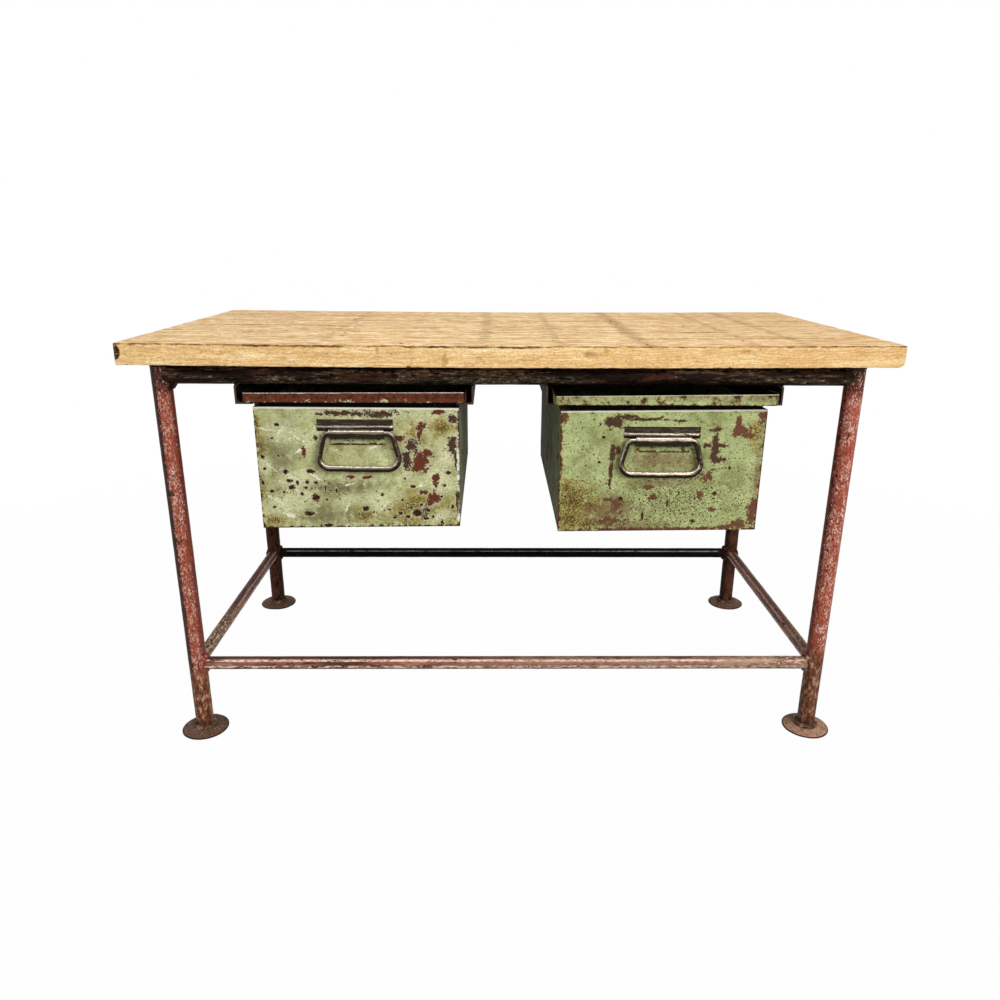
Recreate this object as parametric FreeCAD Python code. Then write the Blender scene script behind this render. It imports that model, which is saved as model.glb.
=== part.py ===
"""Jewellers' work bench: plank top, welded round-tube frame and two sheet-steel drawers.

All sizes are in millimetres.  The origin is on the floor under the middle of the top,
+X runs to the right along the bench, +Y to the back and +Z up.  The user sits at -Y.
Every separate physical piece is written to parts/NAME.step.
"""

import FreeCAD
import Part

import math
import os

from FreeCAD import Vector

# ---- plank top ----
TOP_LENGTH = 1500.0
TOP_THICKNESS = 42.0
BENCH_HEIGHT = 864.0
PLANK_WIDTHS = (122.0, 113.0, 120.0, 121.0, 127.0, 133.0)  # front to back
PLANK_ARRIS = 1.5
CLEAT_X = 340.0
CLEAT_WIDTH = 60.0
CLEAT_THICKNESS = 28.0
CLEAT_LENGTH = 590.0

# ---- tube frame ----
LEG_X = 680.0  # leg centre lines, either side of the middle
LEG_Y = 324.0
LEG_OD = 38.0
RAIL_OD = 36.0
STRETCHER_OD = 28.0
TUBE_WALL = 3.0
STRETCHER_Z = 164.0
FIXING_BAR_THICKNESS = 6.0
FIXING_BAR_OUTER = 20.0  # from the leg centre line outwards
FIXING_BAR_INNER = 50.0  # from the leg centre line inwards

# ---- dished feet ----
FOOT_RADIUS = 50.0
FOOT_SOLE_WIDTH = 12.0
FOOT_HEIGHT = 9.0
FOOT_DISH = 4.5
FOOT_RIM = 3.0
FOOT_SEAT_MARGIN = 2.0  # flat seat beyond the leg

# ---- wood screws ----
SCREW_RADIUS = 2.5
SCREW_HEAD_RADIUS = 5.5
SCREW_HEAD_HEIGHT = 3.5
SCREW_HEAD_CHAMFER = 1.2
SCREW_POINT_RADIUS = 0.4
SCREW_GRIP = 26.0  # depth of thread in the planks
SCREW_INSET = 37.0  # from the leg centre line inwards
SCREW_END_MARGIN = 25.0  # least distance from a cleat's end
FASTENER_CLEARANCE = 0.05

# ---- drawer runners: rolled steel angle ----
ANGLE_THICKNESS = 3.5
RUNNER_LEG_WIDTH = 34.0
RUNNER_SEAT_Z = 747.0
RUNNER_SPAN = 465.0  # over the outer faces of one pair
STOP_THICKNESS = 6.0
STOP_WIDTH = 24.0
STOP_HEIGHT = 20.0
STOP_Y = 278.0

# ---- drawers: folded sheet ----
DRAWER_X = 303.5
DRAWER_FRONT_Y = {"left": -330.0, "right": -349.0}
DRAWER_WIDTH = 406.0
DRAWER_DEPTH = 595.0
DRAWER_FLOOR_Z = 484.0
DRAWER_SHOULDER_Z = 735.0
SHEET = 1.5
SHOULDER_WIDTH = 8.5
FLANGE_DEPTH = 14.0
RIM_WIDTH = 436.0
RIM_TOP_Z = 768.5
RIM_FRONT_REACH = 18.0
RIM_BACK_REACH = 12.0
RIM_CORNER_RADIUS = 8.0
RIM_LIFT = 0.2  # running gap over the runner seats

# ---- drawer handles ----
PLATE_DROP = {"left": 23.5, "right": 32.5}  # plate top under the drawer's shoulder
PLATE_WIDTH = 151.0
PLATE_SHIFT = {"left": -3.5, "right": -1.5}  # plate off the middle of its knuckle
PLATE_HEIGHT = 22.5
RIDGE_RADIUS = 4.5
RIDGE_DROP = 17.5  # ridge centre line under the plate top
HINGE_DROP = 27.0  # hinge line under the plate top
HINGE_REACH = 9.0  # hinge line in front of the panel
KNUCKLE_RADIUS = 8.5
KNUCKLE_WIDTH = 109.0
TAB_WIDTH = 109.0
TAB_DROP = 52.0  # tab bottom under the plate top
BAIL_SHIFT = {"left": 3.0, "right": -2.0}  # where each bail lies along its knuckle
BAIL_ROD_RADIUS = 6.7
BAIL_CLEARANCE = 0.08
BAIL_TOP_HALF = 67.0
BAIL_BOTTOM_HALF = 86.0
BAIL_LENGTH = {"left": 72.5, "right": 69.5}
BAIL_TOP_BEND = 12.0
BAIL_BOTTOM_BEND = 22.0

# ---- worked out from the dimensions above ----
TOP_DEPTH = sum(PLANK_WIDTHS)
TOP_UNDERSIDE = BENCH_HEIGHT - TOP_THICKNESS
BAR_UNDERSIDE = TOP_UNDERSIDE - FIXING_BAR_THICKNESS
RAIL_Z = BAR_UNDERSIDE - RAIL_OD / 2
RAIL_UNDERSIDE = RAIL_Z - RAIL_OD / 2
RUNNER_HALF_LENGTH = LEG_Y + RAIL_OD / 2
SIDES = {"left": -1, "right": 1}
ENDS = {"front": -1, "back": 1}

X_AXIS = Vector(1, 0, 0)
Y_AXIS = Vector(0, 1, 0)
Z_AXIS = Vector(0, 0, 1)
STRAIGHT = 0.001  # largest sine of the angle between an edge and its axis


# ---- helpers ----
def box(x0, x1, y0, y1, z0, z1):
    """Axis-aligned block between two X, two Y and two Z values."""
    low = Vector(min(x0, x1), min(y0, y1), min(z0, z1))
    return Part.makeBox(abs(x1 - x0), abs(y1 - y0), abs(z1 - z0), low)


def rod(start, end, radius):
    """Solid cylinder from start to end."""
    return Part.makeCylinder(radius, (end - start).Length, start, end - start)


def tube(start, end, outer_diameter):
    """Round tube with the frame's wall thickness."""
    outer = rod(start, end, outer_diameter / 2)
    inner = rod(start, end, outer_diameter / 2 - TUBE_WALL)
    return outer.cut(inner)


def fused(shapes):
    """One clean solid from shapes that share faces or overlap."""
    return shapes[0].fuse(shapes[1:]).removeSplitter()


def edges_along(shape, axis):
    """Straight edges of a shape that run along one axis."""
    found = []
    for edge in shape.Edges:
        if edge.tangentAt(edge.FirstParameter).cross(axis).Length < STRAIGHT:
            found.append(edge)
    return found


def revolved(points):
    """Solid of revolution about Z from (radius, height) points."""
    outline = [Vector(r, 0, z) for r, z in points]
    face = Part.Face(Part.makePolygon(outline + outline[:1]))
    return face.revolve(Vector(0, 0, 0), Z_AXIS, 360)


# ---- top ----
def plank_fronts():
    """Front edge Y of each plank, front to back."""
    fronts = []
    y = -TOP_DEPTH / 2
    for width in PLANK_WIDTHS:
        fronts.append(y)
        y += width
    return fronts


def screw_places():
    """Seat point of every screw: x, y and the underside of the piece that it holds."""
    places = {"top_screws": [], "cleat_screws": []}
    reach = CLEAT_LENGTH / 2 - SCREW_END_MARGIN
    for front, width in zip(plank_fronts(), PLANK_WIDTHS):
        y = max(-reach, min(reach, front + width / 2))
        for side in SIDES.values():
            bar_x = side * (LEG_X - SCREW_INSET)
            places["top_screws"].append(Vector(bar_x, y, BAR_UNDERSIDE))
            cleat_x = side * CLEAT_X
            places["cleat_screws"].append(Vector(cleat_x, y, TOP_UNDERSIDE - CLEAT_THICKNESS))
    return places


def screw(seat):
    """Pan-head wood screw driven upwards from its seat into a plank."""
    tip = Vector(seat.x, seat.y, TOP_UNDERSIDE + SCREW_GRIP)
    point = Part.makeCone(SCREW_RADIUS, SCREW_POINT_RADIUS, 2 * SCREW_RADIUS, tip)
    head = rod(seat - Z_AXIS * SCREW_HEAD_HEIGHT, seat, SCREW_HEAD_RADIUS)
    lower_rim = [edge for edge in head.Edges if edge.BoundBox.ZMax < seat.z - SCREW_HEAD_HEIGHT / 2]
    head = head.makeChamfer(SCREW_HEAD_CHAMFER, lower_rim)
    return fused([head, rod(seat, tip, SCREW_RADIUS), point])


def drilled_for_screws(shape):
    """A shape under the top with the clearance holes of all screws that meet it."""
    holes = []
    for seats in screw_places().values():
        for seat in seats:
            top = Vector(seat.x, seat.y, TOP_UNDERSIDE + SCREW_GRIP + 2 * SCREW_RADIUS)
            holes.append(rod(seat - Z_AXIS, top, SCREW_RADIUS + FASTENER_CLEARANCE))
    return shape.cut(Part.makeCompound(holes))


def planks():
    """Boards of the top with eased arrises, numbered from the front."""
    parts = {}
    for number, (front, width) in enumerate(zip(plank_fronts(), PLANK_WIDTHS), 1):
        board = box(-TOP_LENGTH / 2, TOP_LENGTH / 2, front, front + width, TOP_UNDERSIDE, BENCH_HEIGHT)
        board = board.makeChamfer(PLANK_ARRIS, edges_along(board, X_AXIS))
        parts["plank_%d" % number] = drilled_for_screws(board)
    return parts


def cleats():
    """Two battens that hold the planks together underneath."""
    parts = {}
    for name, side in SIDES.items():
        x = side * CLEAT_X
        batten = box(
            x - CLEAT_WIDTH / 2, x + CLEAT_WIDTH / 2,
            -CLEAT_LENGTH / 2, CLEAT_LENGTH / 2,
            TOP_UNDERSIDE - CLEAT_THICKNESS, TOP_UNDERSIDE,
        )
        parts["top_cleat_" + name] = drilled_for_screws(batten)
    return parts


def screws():
    """Screws through the fixing bars and through the cleats."""
    parts = {}
    for name, seats in screw_places().items():
        parts[name] = Part.makeCompound([screw(seat) for seat in seats])
    return parts


# ---- frame ----
def leg_axis(side, end):
    """Foot point of one leg's centre line."""
    return Vector(side * LEG_X, end * LEG_Y, 0)


def legs_and_feet():
    """Four tube legs, each on a dished steel disc."""
    parts = {}
    inner = FOOT_RADIUS - FOOT_SOLE_WIDTH
    seat = LEG_OD / 2 + FOOT_SEAT_MARGIN
    profile = [
        (0, FOOT_DISH), (seat, FOOT_DISH), (inner, 0), (FOOT_RADIUS, 0),
        (FOOT_RADIUS, FOOT_RIM), (seat, FOOT_HEIGHT), (0, FOOT_HEIGHT),
    ]
    for end_name, end in ENDS.items():
        for side_name, side in SIDES.items():
            place = leg_axis(side, end)
            name = "%s_%s" % (end_name, side_name)
            bottom = place + Z_AXIS * FOOT_HEIGHT
            parts["leg_" + name] = tube(bottom, place + Z_AXIS * BAR_UNDERSIDE, LEG_OD)
            parts["foot_" + name] = revolved(profile).translated(place)
    return parts


def all_leg_rods():
    """Solid envelope of the four legs, used to cope the tubes that meet them."""
    envelopes = []
    for side in SIDES.values():
        for end in ENDS.values():
            place = leg_axis(side, end)
            envelopes.append(rod(place, place + Z_AXIS * BENCH_HEIGHT, LEG_OD / 2))
    return envelopes


def tube_ring(kind, height, outer_diameter):
    """Front, back and two side tubes at one height, coped where they meet."""
    parts = {}
    long_rods = []
    for name, end in ENDS.items():
        start = Vector(-LEG_X, end * LEG_Y, height)
        finish = Vector(LEG_X, end * LEG_Y, height)
        parts["%s_%s" % (name, kind)] = coped(tube(start, finish, outer_diameter), all_leg_rods())
        long_rods.append(rod(start, finish, outer_diameter / 2))
    for name, side in SIDES.items():
        start = Vector(side * LEG_X, -LEG_Y, height)
        finish = Vector(side * LEG_X, LEG_Y, height)
        side_tube = tube(start, finish, outer_diameter)
        parts["%s_%s" % (name, kind)] = coped(side_tube, all_leg_rods() + long_rods)
    return parts


def coped(shape, envelopes):
    """Largest solid left when a tube's ends are cut to the tubes they meet."""
    cut = shape.cut(Part.makeCompound(envelopes))
    return max(cut.Solids, key=lambda solid: solid.Volume)


def fixing_bars():
    """Flat bars over the leg tops and side rails that carry the top's screws."""
    parts = {}
    for name, side in SIDES.items():
        x0 = side * (LEG_X + FIXING_BAR_OUTER)
        x1 = side * (LEG_X - FIXING_BAR_INNER)
        half = LEG_Y + LEG_OD / 2
        bar = box(x0, x1, -half, half, BAR_UNDERSIDE, TOP_UNDERSIDE)
        parts["fixing_bar_" + name] = drilled_for_screws(bar)
    return parts


# ---- runners ----
def runner(outer_x, inward):
    """Angle iron under the rails: upright leg outside, seat leg towards the drawer."""
    seat_bottom = RUNNER_SEAT_Z - ANGLE_THICKNESS
    y = RUNNER_HALF_LENGTH
    upright = box(outer_x, outer_x + inward * ANGLE_THICKNESS, -y, y, seat_bottom, RAIL_UNDERSIDE)
    seat = box(outer_x, outer_x + inward * RUNNER_LEG_WIDTH, -y, y, seat_bottom, RUNNER_SEAT_Z)
    return fused([upright, seat])


def runner_stop(outer_x, inward):
    """Small block welded in the angle that stops the drawer's rim."""
    x0 = outer_x + inward * ANGLE_THICKNESS
    top = RUNNER_SEAT_Z + STOP_HEIGHT
    return box(x0, x0 + inward * STOP_WIDTH, STOP_Y, STOP_Y + STOP_THICKNESS, RUNNER_SEAT_Z, top)


def runners():
    """A pair of runners and a pair of stops for each drawer."""
    parts = {}
    for name, side in SIDES.items():
        outside = side * (DRAWER_X + RUNNER_SPAN / 2)
        inside = side * (DRAWER_X - RUNNER_SPAN / 2)
        parts["%s_runner_outer" % name] = runner(outside, -side)
        parts["%s_runner_inner" % name] = runner(inside, side)
        stops = [runner_stop(outside, -side), runner_stop(inside, side)]
        parts["%s_drawer_stops" % name] = Part.makeCompound(stops)
    return parts


# ---- drawers ----
def drawer_shell(x, y0, y1):
    """Sides and floor folded from one sheet, with a narrow shoulder along each side."""
    half = DRAWER_WIDTH / 2
    shoulder = half - SHOULDER_WIDTH
    floor, top = DRAWER_FLOOR_Z, DRAWER_SHOULDER_Z
    right_half = [
        (half, floor), (half, top), (shoulder, top), (shoulder, top - SHEET),
        (half - SHEET, top - SHEET), (half - SHEET, floor + SHEET),
    ]
    left_half = [(-across, up) for across, up in reversed(right_half)]
    outline = [Vector(x + across, y0, up) for across, up in right_half + left_half]
    face = Part.Face(Part.makePolygon(outline + outline[:1]))
    return face.extrude(Y_AXIS * (y1 - y0))


def end_panel(x, face_y, inward):
    """Front or back sheet with flanges inside the shell and a shoulder on top."""
    half = DRAWER_WIDTH / 2
    floor, top = DRAWER_FLOOR_Z, DRAWER_SHOULDER_Z
    inner_y = face_y + inward * SHEET
    flange_y = inner_y + inward * FLANGE_DEPTH
    shoulder_y = face_y + inward * SHOULDER_WIDTH
    neck = half - SHOULDER_WIDTH
    flange_x = half - 2 * SHEET
    sheets = [
        box(x - half, x + half, face_y, inner_y, floor, top),
        box(x - neck, x + neck, inner_y, shoulder_y, top - SHEET, top),
        box(x - flange_x, x + flange_x, inner_y, flange_y, floor + SHEET, floor + 2 * SHEET),
    ]
    for side in SIDES.values():
        outer_x = x + side * (half - SHEET)
        inner_x = x + side * flange_x
        sheets.append(box(outer_x, inner_x, inner_y, flange_y, floor + SHEET, top - SHEET))
    return fused(sheets)


def rounded_block(x, half_width, y0, y1, z0, z1, radius):
    """Upright block with rounded vertical edges."""
    block = box(x - half_width, x + half_width, y0, y1, z0, z1)
    return block.makeFillet(radius, edges_along(block, Z_AXIS))


def drawer_rim(x, front_y, back_y):
    """Rim: neck between the runners, flange that rides on them, and upstand."""
    neck = DRAWER_WIDTH / 2 - SHOULDER_WIDTH
    front_neck = front_y + SHOULDER_WIDTH
    back_neck = back_y - SHOULDER_WIDTH
    flange_z = RUNNER_SEAT_Z + RIM_LIFT
    half = RIM_WIDTH / 2
    y0 = front_y - RIM_FRONT_REACH
    y1 = back_y + RIM_BACK_REACH
    tray = rounded_block(x, half, y0, y1, flange_z, RIM_TOP_Z, RIM_CORNER_RADIUS)
    hollow = rounded_block(
        x, half - SHEET, y0 + SHEET, y1 - SHEET,
        flange_z + SHEET, RIM_TOP_Z, RIM_CORNER_RADIUS - SHEET,
    )
    skirt = box(
        x - neck - SHEET, x + neck + SHEET,
        front_neck - SHEET, back_neck + SHEET, DRAWER_SHOULDER_Z, flange_z + SHEET,
    )
    mouth = box(x - neck, x + neck, front_neck, back_neck, DRAWER_SHOULDER_Z, RIM_TOP_Z)
    return fused([tray.cut(hollow), skirt]).cut(mouth)


# ---- handles ----
def handle_bracket(x, plate_x, front_y, top_z):
    """Spot-welded sheet bracket: plate with a ridge, rolled knuckle and lower tab."""
    face_y = front_y - SHEET
    knuckle = KNUCKLE_WIDTH / 2
    hinge_z = top_z - HINGE_DROP
    hinge_start = Vector(x - knuckle, front_y - HINGE_REACH, hinge_z)
    hinge_end = Vector(x + knuckle, front_y - HINGE_REACH, hinge_z)
    plate_start = plate_x - PLATE_WIDTH / 2
    plate_end = plate_x + PLATE_WIDTH / 2
    ridge_start = Vector(plate_start, face_y, top_z - RIDGE_DROP)
    ridge_end = Vector(plate_end, face_y, top_z - RIDGE_DROP)
    behind_panel = box(x - PLATE_WIDTH, x + PLATE_WIDTH, front_y, front_y + PLATE_WIDTH, 0, BENCH_HEIGHT)
    body = fused([
        box(plate_start, plate_end, face_y, front_y, top_z - PLATE_HEIGHT, top_z),
        box(x - knuckle, x + knuckle, face_y, front_y, hinge_z, top_z - PLATE_HEIGHT),
        box(x - TAB_WIDTH / 2, x + TAB_WIDTH / 2, face_y, front_y, top_z - TAB_DROP, hinge_z),
        rod(hinge_start, hinge_end, KNUCKLE_RADIUS),
        rod(ridge_start, ridge_end, RIDGE_RADIUS),
    ])
    return body.cut(behind_panel).cut(rod(hinge_start, hinge_end, BAIL_ROD_RADIUS + BAIL_CLEARANCE))


def bend(before, corner, after, radius):
    """Start, middle and end of the arc that rounds one corner of a path."""
    back = (before - corner).normalize()
    ahead = (after - corner).normalize()
    half_angle = back.getAngle(ahead) / 2
    setback = radius / math.tan(half_angle)
    middle = (back + ahead).normalize() * (radius / math.sin(half_angle) - radius)
    return corner + back * setback, corner + middle, corner + ahead * setback


def bail(x, front_y, hinge_z, length):
    """Closed loop of round rod: its top bar turns in the knuckle, the rest hangs."""
    y = front_y - HINGE_REACH
    low_z = hinge_z - length
    corners = [
        (Vector(x + BAIL_TOP_HALF, y, hinge_z), BAIL_TOP_BEND),
        (Vector(x + BAIL_BOTTOM_HALF, y, low_z), BAIL_BOTTOM_BEND),
        (Vector(x - BAIL_BOTTOM_HALF, y, low_z), BAIL_BOTTOM_BEND),
        (Vector(x - BAIL_TOP_HALF, y, hinge_z), BAIL_TOP_BEND),
    ]
    start = Vector(x, y, hinge_z)
    arcs = []
    for index, (corner, radius) in enumerate(corners):
        before = corners[index - 1][0] if index else start
        after = corners[index + 1][0] if index + 1 < len(corners) else start
        arcs.append(bend(before, corner, after, radius))
    edges = []
    here = start
    for arc_start, arc_middle, arc_end in arcs:
        edges.append(Part.makeLine(here, arc_start))
        edges.append(Part.Arc(arc_start, arc_middle, arc_end).toShape())
        here = arc_end
    edges.append(Part.makeLine(here, start))
    section = Part.Wire([Part.makeCircle(BAIL_ROD_RADIUS, start, X_AXIS)])
    return Part.Wire(edges).makePipeShell([section], True, True)


def drawer(name, side):
    """All pieces of one drawer, ready in its place on the runners."""
    x = side * DRAWER_X
    front_y = DRAWER_FRONT_Y[name]
    back_y = front_y + DRAWER_DEPTH
    plate_top = DRAWER_SHOULDER_Z - PLATE_DROP[name]
    hinge_z = plate_top - HINGE_DROP
    prefix = name + "_drawer_"
    return {
        prefix + "front": end_panel(x, front_y, 1),
        prefix + "back": end_panel(x, back_y, -1),
        prefix + "shell": drawer_shell(x, front_y + SHEET, back_y - SHEET),
        prefix + "rim": drawer_rim(x, front_y, back_y),
        prefix + "handle_bracket": handle_bracket(x, x + PLATE_SHIFT[name], front_y, plate_top),
        prefix + "bail": bail(x + BAIL_SHIFT[name], front_y, hinge_z, BAIL_LENGTH[name]),
    }


def all_parts():
    """Every node of the bench, by name."""
    parts = {}
    parts.update(planks())
    parts.update(cleats())
    parts.update(screws())
    parts.update(legs_and_feet())
    parts.update(tube_ring("rail", RAIL_Z, RAIL_OD))
    parts.update(tube_ring("stretcher", STRETCHER_Z, STRETCHER_OD))
    parts.update(fixing_bars())
    parts.update(runners())
    for name, side in SIDES.items():
        parts.update(drawer(name, side))
    return parts


os.makedirs("parts", exist_ok=True)
for node, shape in all_parts().items():
    shape.exportStep("parts/%s.step" % node)
    print("%-32s %2d solid(s) %10.0f mm3 valid %s" % (
        node, len(shape.Solids), shape.Volume, shape.isValid()))
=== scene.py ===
"""Jewellers' work bench: the visible skin and finish of every piece, and the studio round it.

Everything is in metres in the packed model's frame: +X to the right along the bench, +Y to the
back, +Z up, with the origin on the floor under the middle of the top.  Sizes in millimetres are
written with mm().
"""

import math
from functools import partial

import bmesh
import bpy
import numpy as np
from bpy.props import FloatProperty, FloatVectorProperty, PointerProperty, StringProperty
from mathutils import Matrix, Vector, noise


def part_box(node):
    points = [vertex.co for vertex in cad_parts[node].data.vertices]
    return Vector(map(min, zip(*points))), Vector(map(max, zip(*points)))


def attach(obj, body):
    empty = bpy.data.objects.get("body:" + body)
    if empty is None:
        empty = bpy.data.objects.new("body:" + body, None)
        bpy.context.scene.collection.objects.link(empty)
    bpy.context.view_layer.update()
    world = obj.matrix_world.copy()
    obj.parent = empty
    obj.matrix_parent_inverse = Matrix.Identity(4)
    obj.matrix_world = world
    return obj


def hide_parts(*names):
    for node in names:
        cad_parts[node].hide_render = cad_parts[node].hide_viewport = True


bl_info = {
    "name": "Jewellers' Work Bench",
    "version": (1, 0, 0),
    "blender": (4, 5, 0),
    "location": "View3D > Sidebar > Bench",
    "description": "Builds a plank-topped work bench with a tube frame and two sheet-steel drawers",
    "category": "Add Mesh",
}

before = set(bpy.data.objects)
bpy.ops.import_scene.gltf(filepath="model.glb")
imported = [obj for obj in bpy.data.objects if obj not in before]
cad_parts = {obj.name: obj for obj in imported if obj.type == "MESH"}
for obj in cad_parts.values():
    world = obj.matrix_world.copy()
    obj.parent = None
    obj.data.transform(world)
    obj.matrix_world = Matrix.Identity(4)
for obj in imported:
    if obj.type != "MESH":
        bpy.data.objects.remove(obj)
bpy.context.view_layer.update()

SIDES = {"left": -1, "right": 1}
ENDS = {"front": -1, "back": 1}


# ---- units and colours ----
def mm(value):
    """Millimetres to metres."""
    return value / 1000.0


def paint(code):
    """Linear RGBA of an sRGB hex colour or of a colour setting."""
    if not isinstance(code, str):
        return tuple(code) + (1.0,)
    channels = [int(code[i:i + 2], 16) / 255 for i in (1, 3, 5)]
    return tuple(c / 12.92 if c <= 0.04045 else ((c + 0.055) / 1.055) ** 2.4 for c in channels) + (1.0,)


# ---- sizes read from the packed model ----
def node_size(node):
    """Lowest corner, highest corner and middle of a packed node."""
    low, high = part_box(node)
    return low, high, (low + high) / 2


LEG_LOW, LEG_HIGH, LEG_MIDDLE = node_size("leg_front_right")
LEG_RADIUS = (LEG_HIGH.x - LEG_LOW.x) / 2
LEG_X = LEG_MIDDLE.x
LEG_Y = -LEG_MIDDLE.y
SHEET = mm(1.5)  # gauge of the drawer sheet
TUBE_POINTS = 40  # round a tube
CORNERS = [(side, end) for side in SIDES.values() for end in ENDS.values()]
BOARDS = range(1, 7)
SHEET_FINISH = {"left": "pale_green_sheet", "right": "green_sheet"}


# ---- outlines ----
def rectangle(left, right, low, high):
    """Corners of an upright rectangle."""
    return [(left, low), (right, low), (right, high), (left, high)]


def rounded_outline(corners, radii, pitch, bend_steps=3, like=None):
    """Closed outline through 2D corners with rounded bends, and a mark that is 1 on its bends.

    Points are at most a pitch apart; like gives the corners of an outline to share point counts with.
    """
    corners = [np.array(corner, float) for corner in corners]
    spans = [np.array(corner, float) for corner in (like or corners)]
    count = len(corners)
    bends = []
    for i, corner in enumerate(corners):
        back = corners[i - 1] - corner
        ahead = corners[(i + 1) % count] - corner
        back_unit = back / np.linalg.norm(back)
        ahead_unit = ahead / np.linalg.norm(ahead)
        half = math.acos(max(-1.0, min(1.0, float(back_unit @ ahead_unit)))) / 2
        setback = radii[i] / math.tan(half)
        bisector = back_unit + ahead_unit
        centre = corner + bisector / np.linalg.norm(bisector) * radii[i] / math.sin(half)
        start = corner + back_unit * setback - centre
        stop = corner + ahead_unit * setback - centre
        turn = math.atan2(start[0] * stop[1] - start[1] * stop[0], float(start @ stop))
        bend = []
        for step in range(bend_steps + 1):
            angle = turn * step / bend_steps
            spin = np.array([[math.cos(angle), -math.sin(angle)], [math.sin(angle), math.cos(angle)]])
            bend.append(centre + spin @ start)
        bends.append(bend)
    points = []
    on_bend = []
    for i, bend in enumerate(bends):
        following = bends[(i + 1) % count][0]
        pieces = max(1, math.ceil(np.linalg.norm(spans[(i + 1) % count] - spans[i]) / pitch))
        points += bend + [bend[-1] + (following - bend[-1]) * k / pieces for k in range(1, pieces)]
        on_bend += [1.0] * len(bend) + [0.0] * (pieces - 1)
    return np.array(points), np.array(on_bend)


def folded_outline(line, gauge):
    """Closed outline of sheet of a given gauge that follows an open 2D line."""
    line = np.array(line, float)
    along = np.gradient(line, axis=0)
    along /= np.linalg.norm(along, axis=1)[:, None]
    across = np.stack([-along[:, 1], along[:, 0]], axis=1) * gauge / 2
    return np.concatenate([line + across, (line - across)[::-1]])


def arc(centre, radius, start, stop, steps):
    """Points on a circle between two angles in degrees."""
    angles = np.radians(np.linspace(start, stop, steps + 1))
    return np.stack([centre[0] + radius * np.cos(angles), centre[1] + radius * np.sin(angles)], axis=1)


def circle(radius, count):
    """Two rows, across and up, of points once round a circle."""
    angles = np.linspace(0, 2 * math.pi, count, endpoint=False)
    return radius * np.array([np.cos(angles), np.sin(angles)])


def stations(start, stop, pitch):
    """Even steps from start to stop, at most a pitch apart."""
    return np.linspace(start, stop, max(2, math.ceil(abs(stop - start) / pitch) + 1))


# ---- solids: arrays of points with the faces that join them ----
def loft(rings, wrap=False):
    """Skin through closed rings of points, capped at both ends unless it wraps round."""
    rings = np.asarray(rings, float)
    count, around = rings.shape[:2]
    index = np.arange(count * around).reshape(count, around)
    lower = index if wrap else index[:-1]
    upper = np.roll(index, -1, axis=0) if wrap else index[1:]
    quads = np.stack([lower, np.roll(lower, -1, 1), np.roll(upper, -1, 1), upper], axis=-1)
    faces = quads.reshape(-1, 4).tolist()
    if not wrap:
        faces += [index[0][::-1].tolist(), index[-1].tolist()]
    return rings.reshape(-1, 3), faces


def extrude_x(outline, xs):
    """Solid whose (y, z) outline runs along X."""
    return loft([np.column_stack([np.full(len(outline), x), outline]) for x in xs])


def extrude_y(outline, ys):
    """Solid whose (x, z) outline runs along Y."""
    return loft([np.column_stack([outline[:, 0], np.full(len(outline), y), outline[:, 1]]) for y in ys])


def extrude_z(outline, zs):
    """Solid whose (x, y) outline runs along Z."""
    return loft([np.column_stack([outline, np.full(len(outline), z)]) for z in zs])


def lathe(profile, centre, segments):
    """Solid turned about a vertical axis from (radius, height) points that start and end close to it."""
    rings = []
    for radius, height in profile:
        x, y = circle(radius, segments)
        rings.append(np.column_stack([centre[0] + x, centre[1] + y, np.full(segments, centre[2] + height)]))
    return loft(rings)


def sweep(path, radii, sides):
    """Round bar of varying radius round a closed 3D path that stays near one vertical plane along X."""
    ahead = np.roll(path, -1, axis=0) - np.roll(path, 1, axis=0)
    ahead /= np.linalg.norm(ahead, axis=1)[:, None]
    first = np.cross(ahead, (0.0, 1.0, 0.0))
    first /= np.linalg.norm(first, axis=1)[:, None]
    second = np.cross(ahead, first)
    x, y = circle(1.0, sides)[:, :, None]
    return loft([point + radius * (x * a + y * b) for point, a, b, radius in zip(path, first, second, radii)],
                wrap=True)


def joined(solids):
    """Points and faces of several solids together."""
    points = []
    faces = []
    offset = 0
    for solid_points, solid_faces in solids:
        points.append(solid_points)
        faces += [[index + offset for index in face] for face in solid_faces]
        offset += len(solid_points)
    return np.concatenate(points), faces


def uneven(points, size, seed=0.0):
    """Smooth noise from -1 to 1 at each point, with swells about a given size apart."""
    shift = Vector((seed * 3.17, seed * 5.71, seed * 7.93))
    return np.array([noise.noise(Vector(point) / size + shift) for point in points])


def ease(values, low, high):
    """Smooth rise from 0 at low to 1 at high."""
    share = np.clip((values - low) / (high - low), 0, 1)
    return share * share * (3 - 2 * share)


def fall(values, low, high):
    """Smooth fall from 1 at low to 0 at high."""
    return ease(-values, -high, -low)


# ---- finished pieces ----
def seed_of(name):
    """Number that stays the same for a name, so like pieces differ in their marks."""
    return sum((i + 1) * ord(letter) for i, letter in enumerate(name)) % 97 / 9.7


def own_place(points, along, name):
    """Place of each point in the piece's own frame: two directions across, then along."""
    order = {"X": (1, 2, 0), "Y": (0, 2, 1), "Z": (0, 1, 2)}[along]
    middle = (points.min(axis=0) + points.max(axis=0)) / 2
    return (points - middle)[:, order] + np.array([0.0, 0.0, seed_of(name)])


def store(mesh, name, values):
    """Keep one number or one vector for each point of a mesh."""
    values = np.asarray(values, np.float32)
    kind, field = ("FLOAT_VECTOR", "vector") if values.ndim == 2 else ("FLOAT", "value")
    mesh.attributes.new(name, kind, "POINT").data.foreach_set(field, values.ravel())


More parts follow.
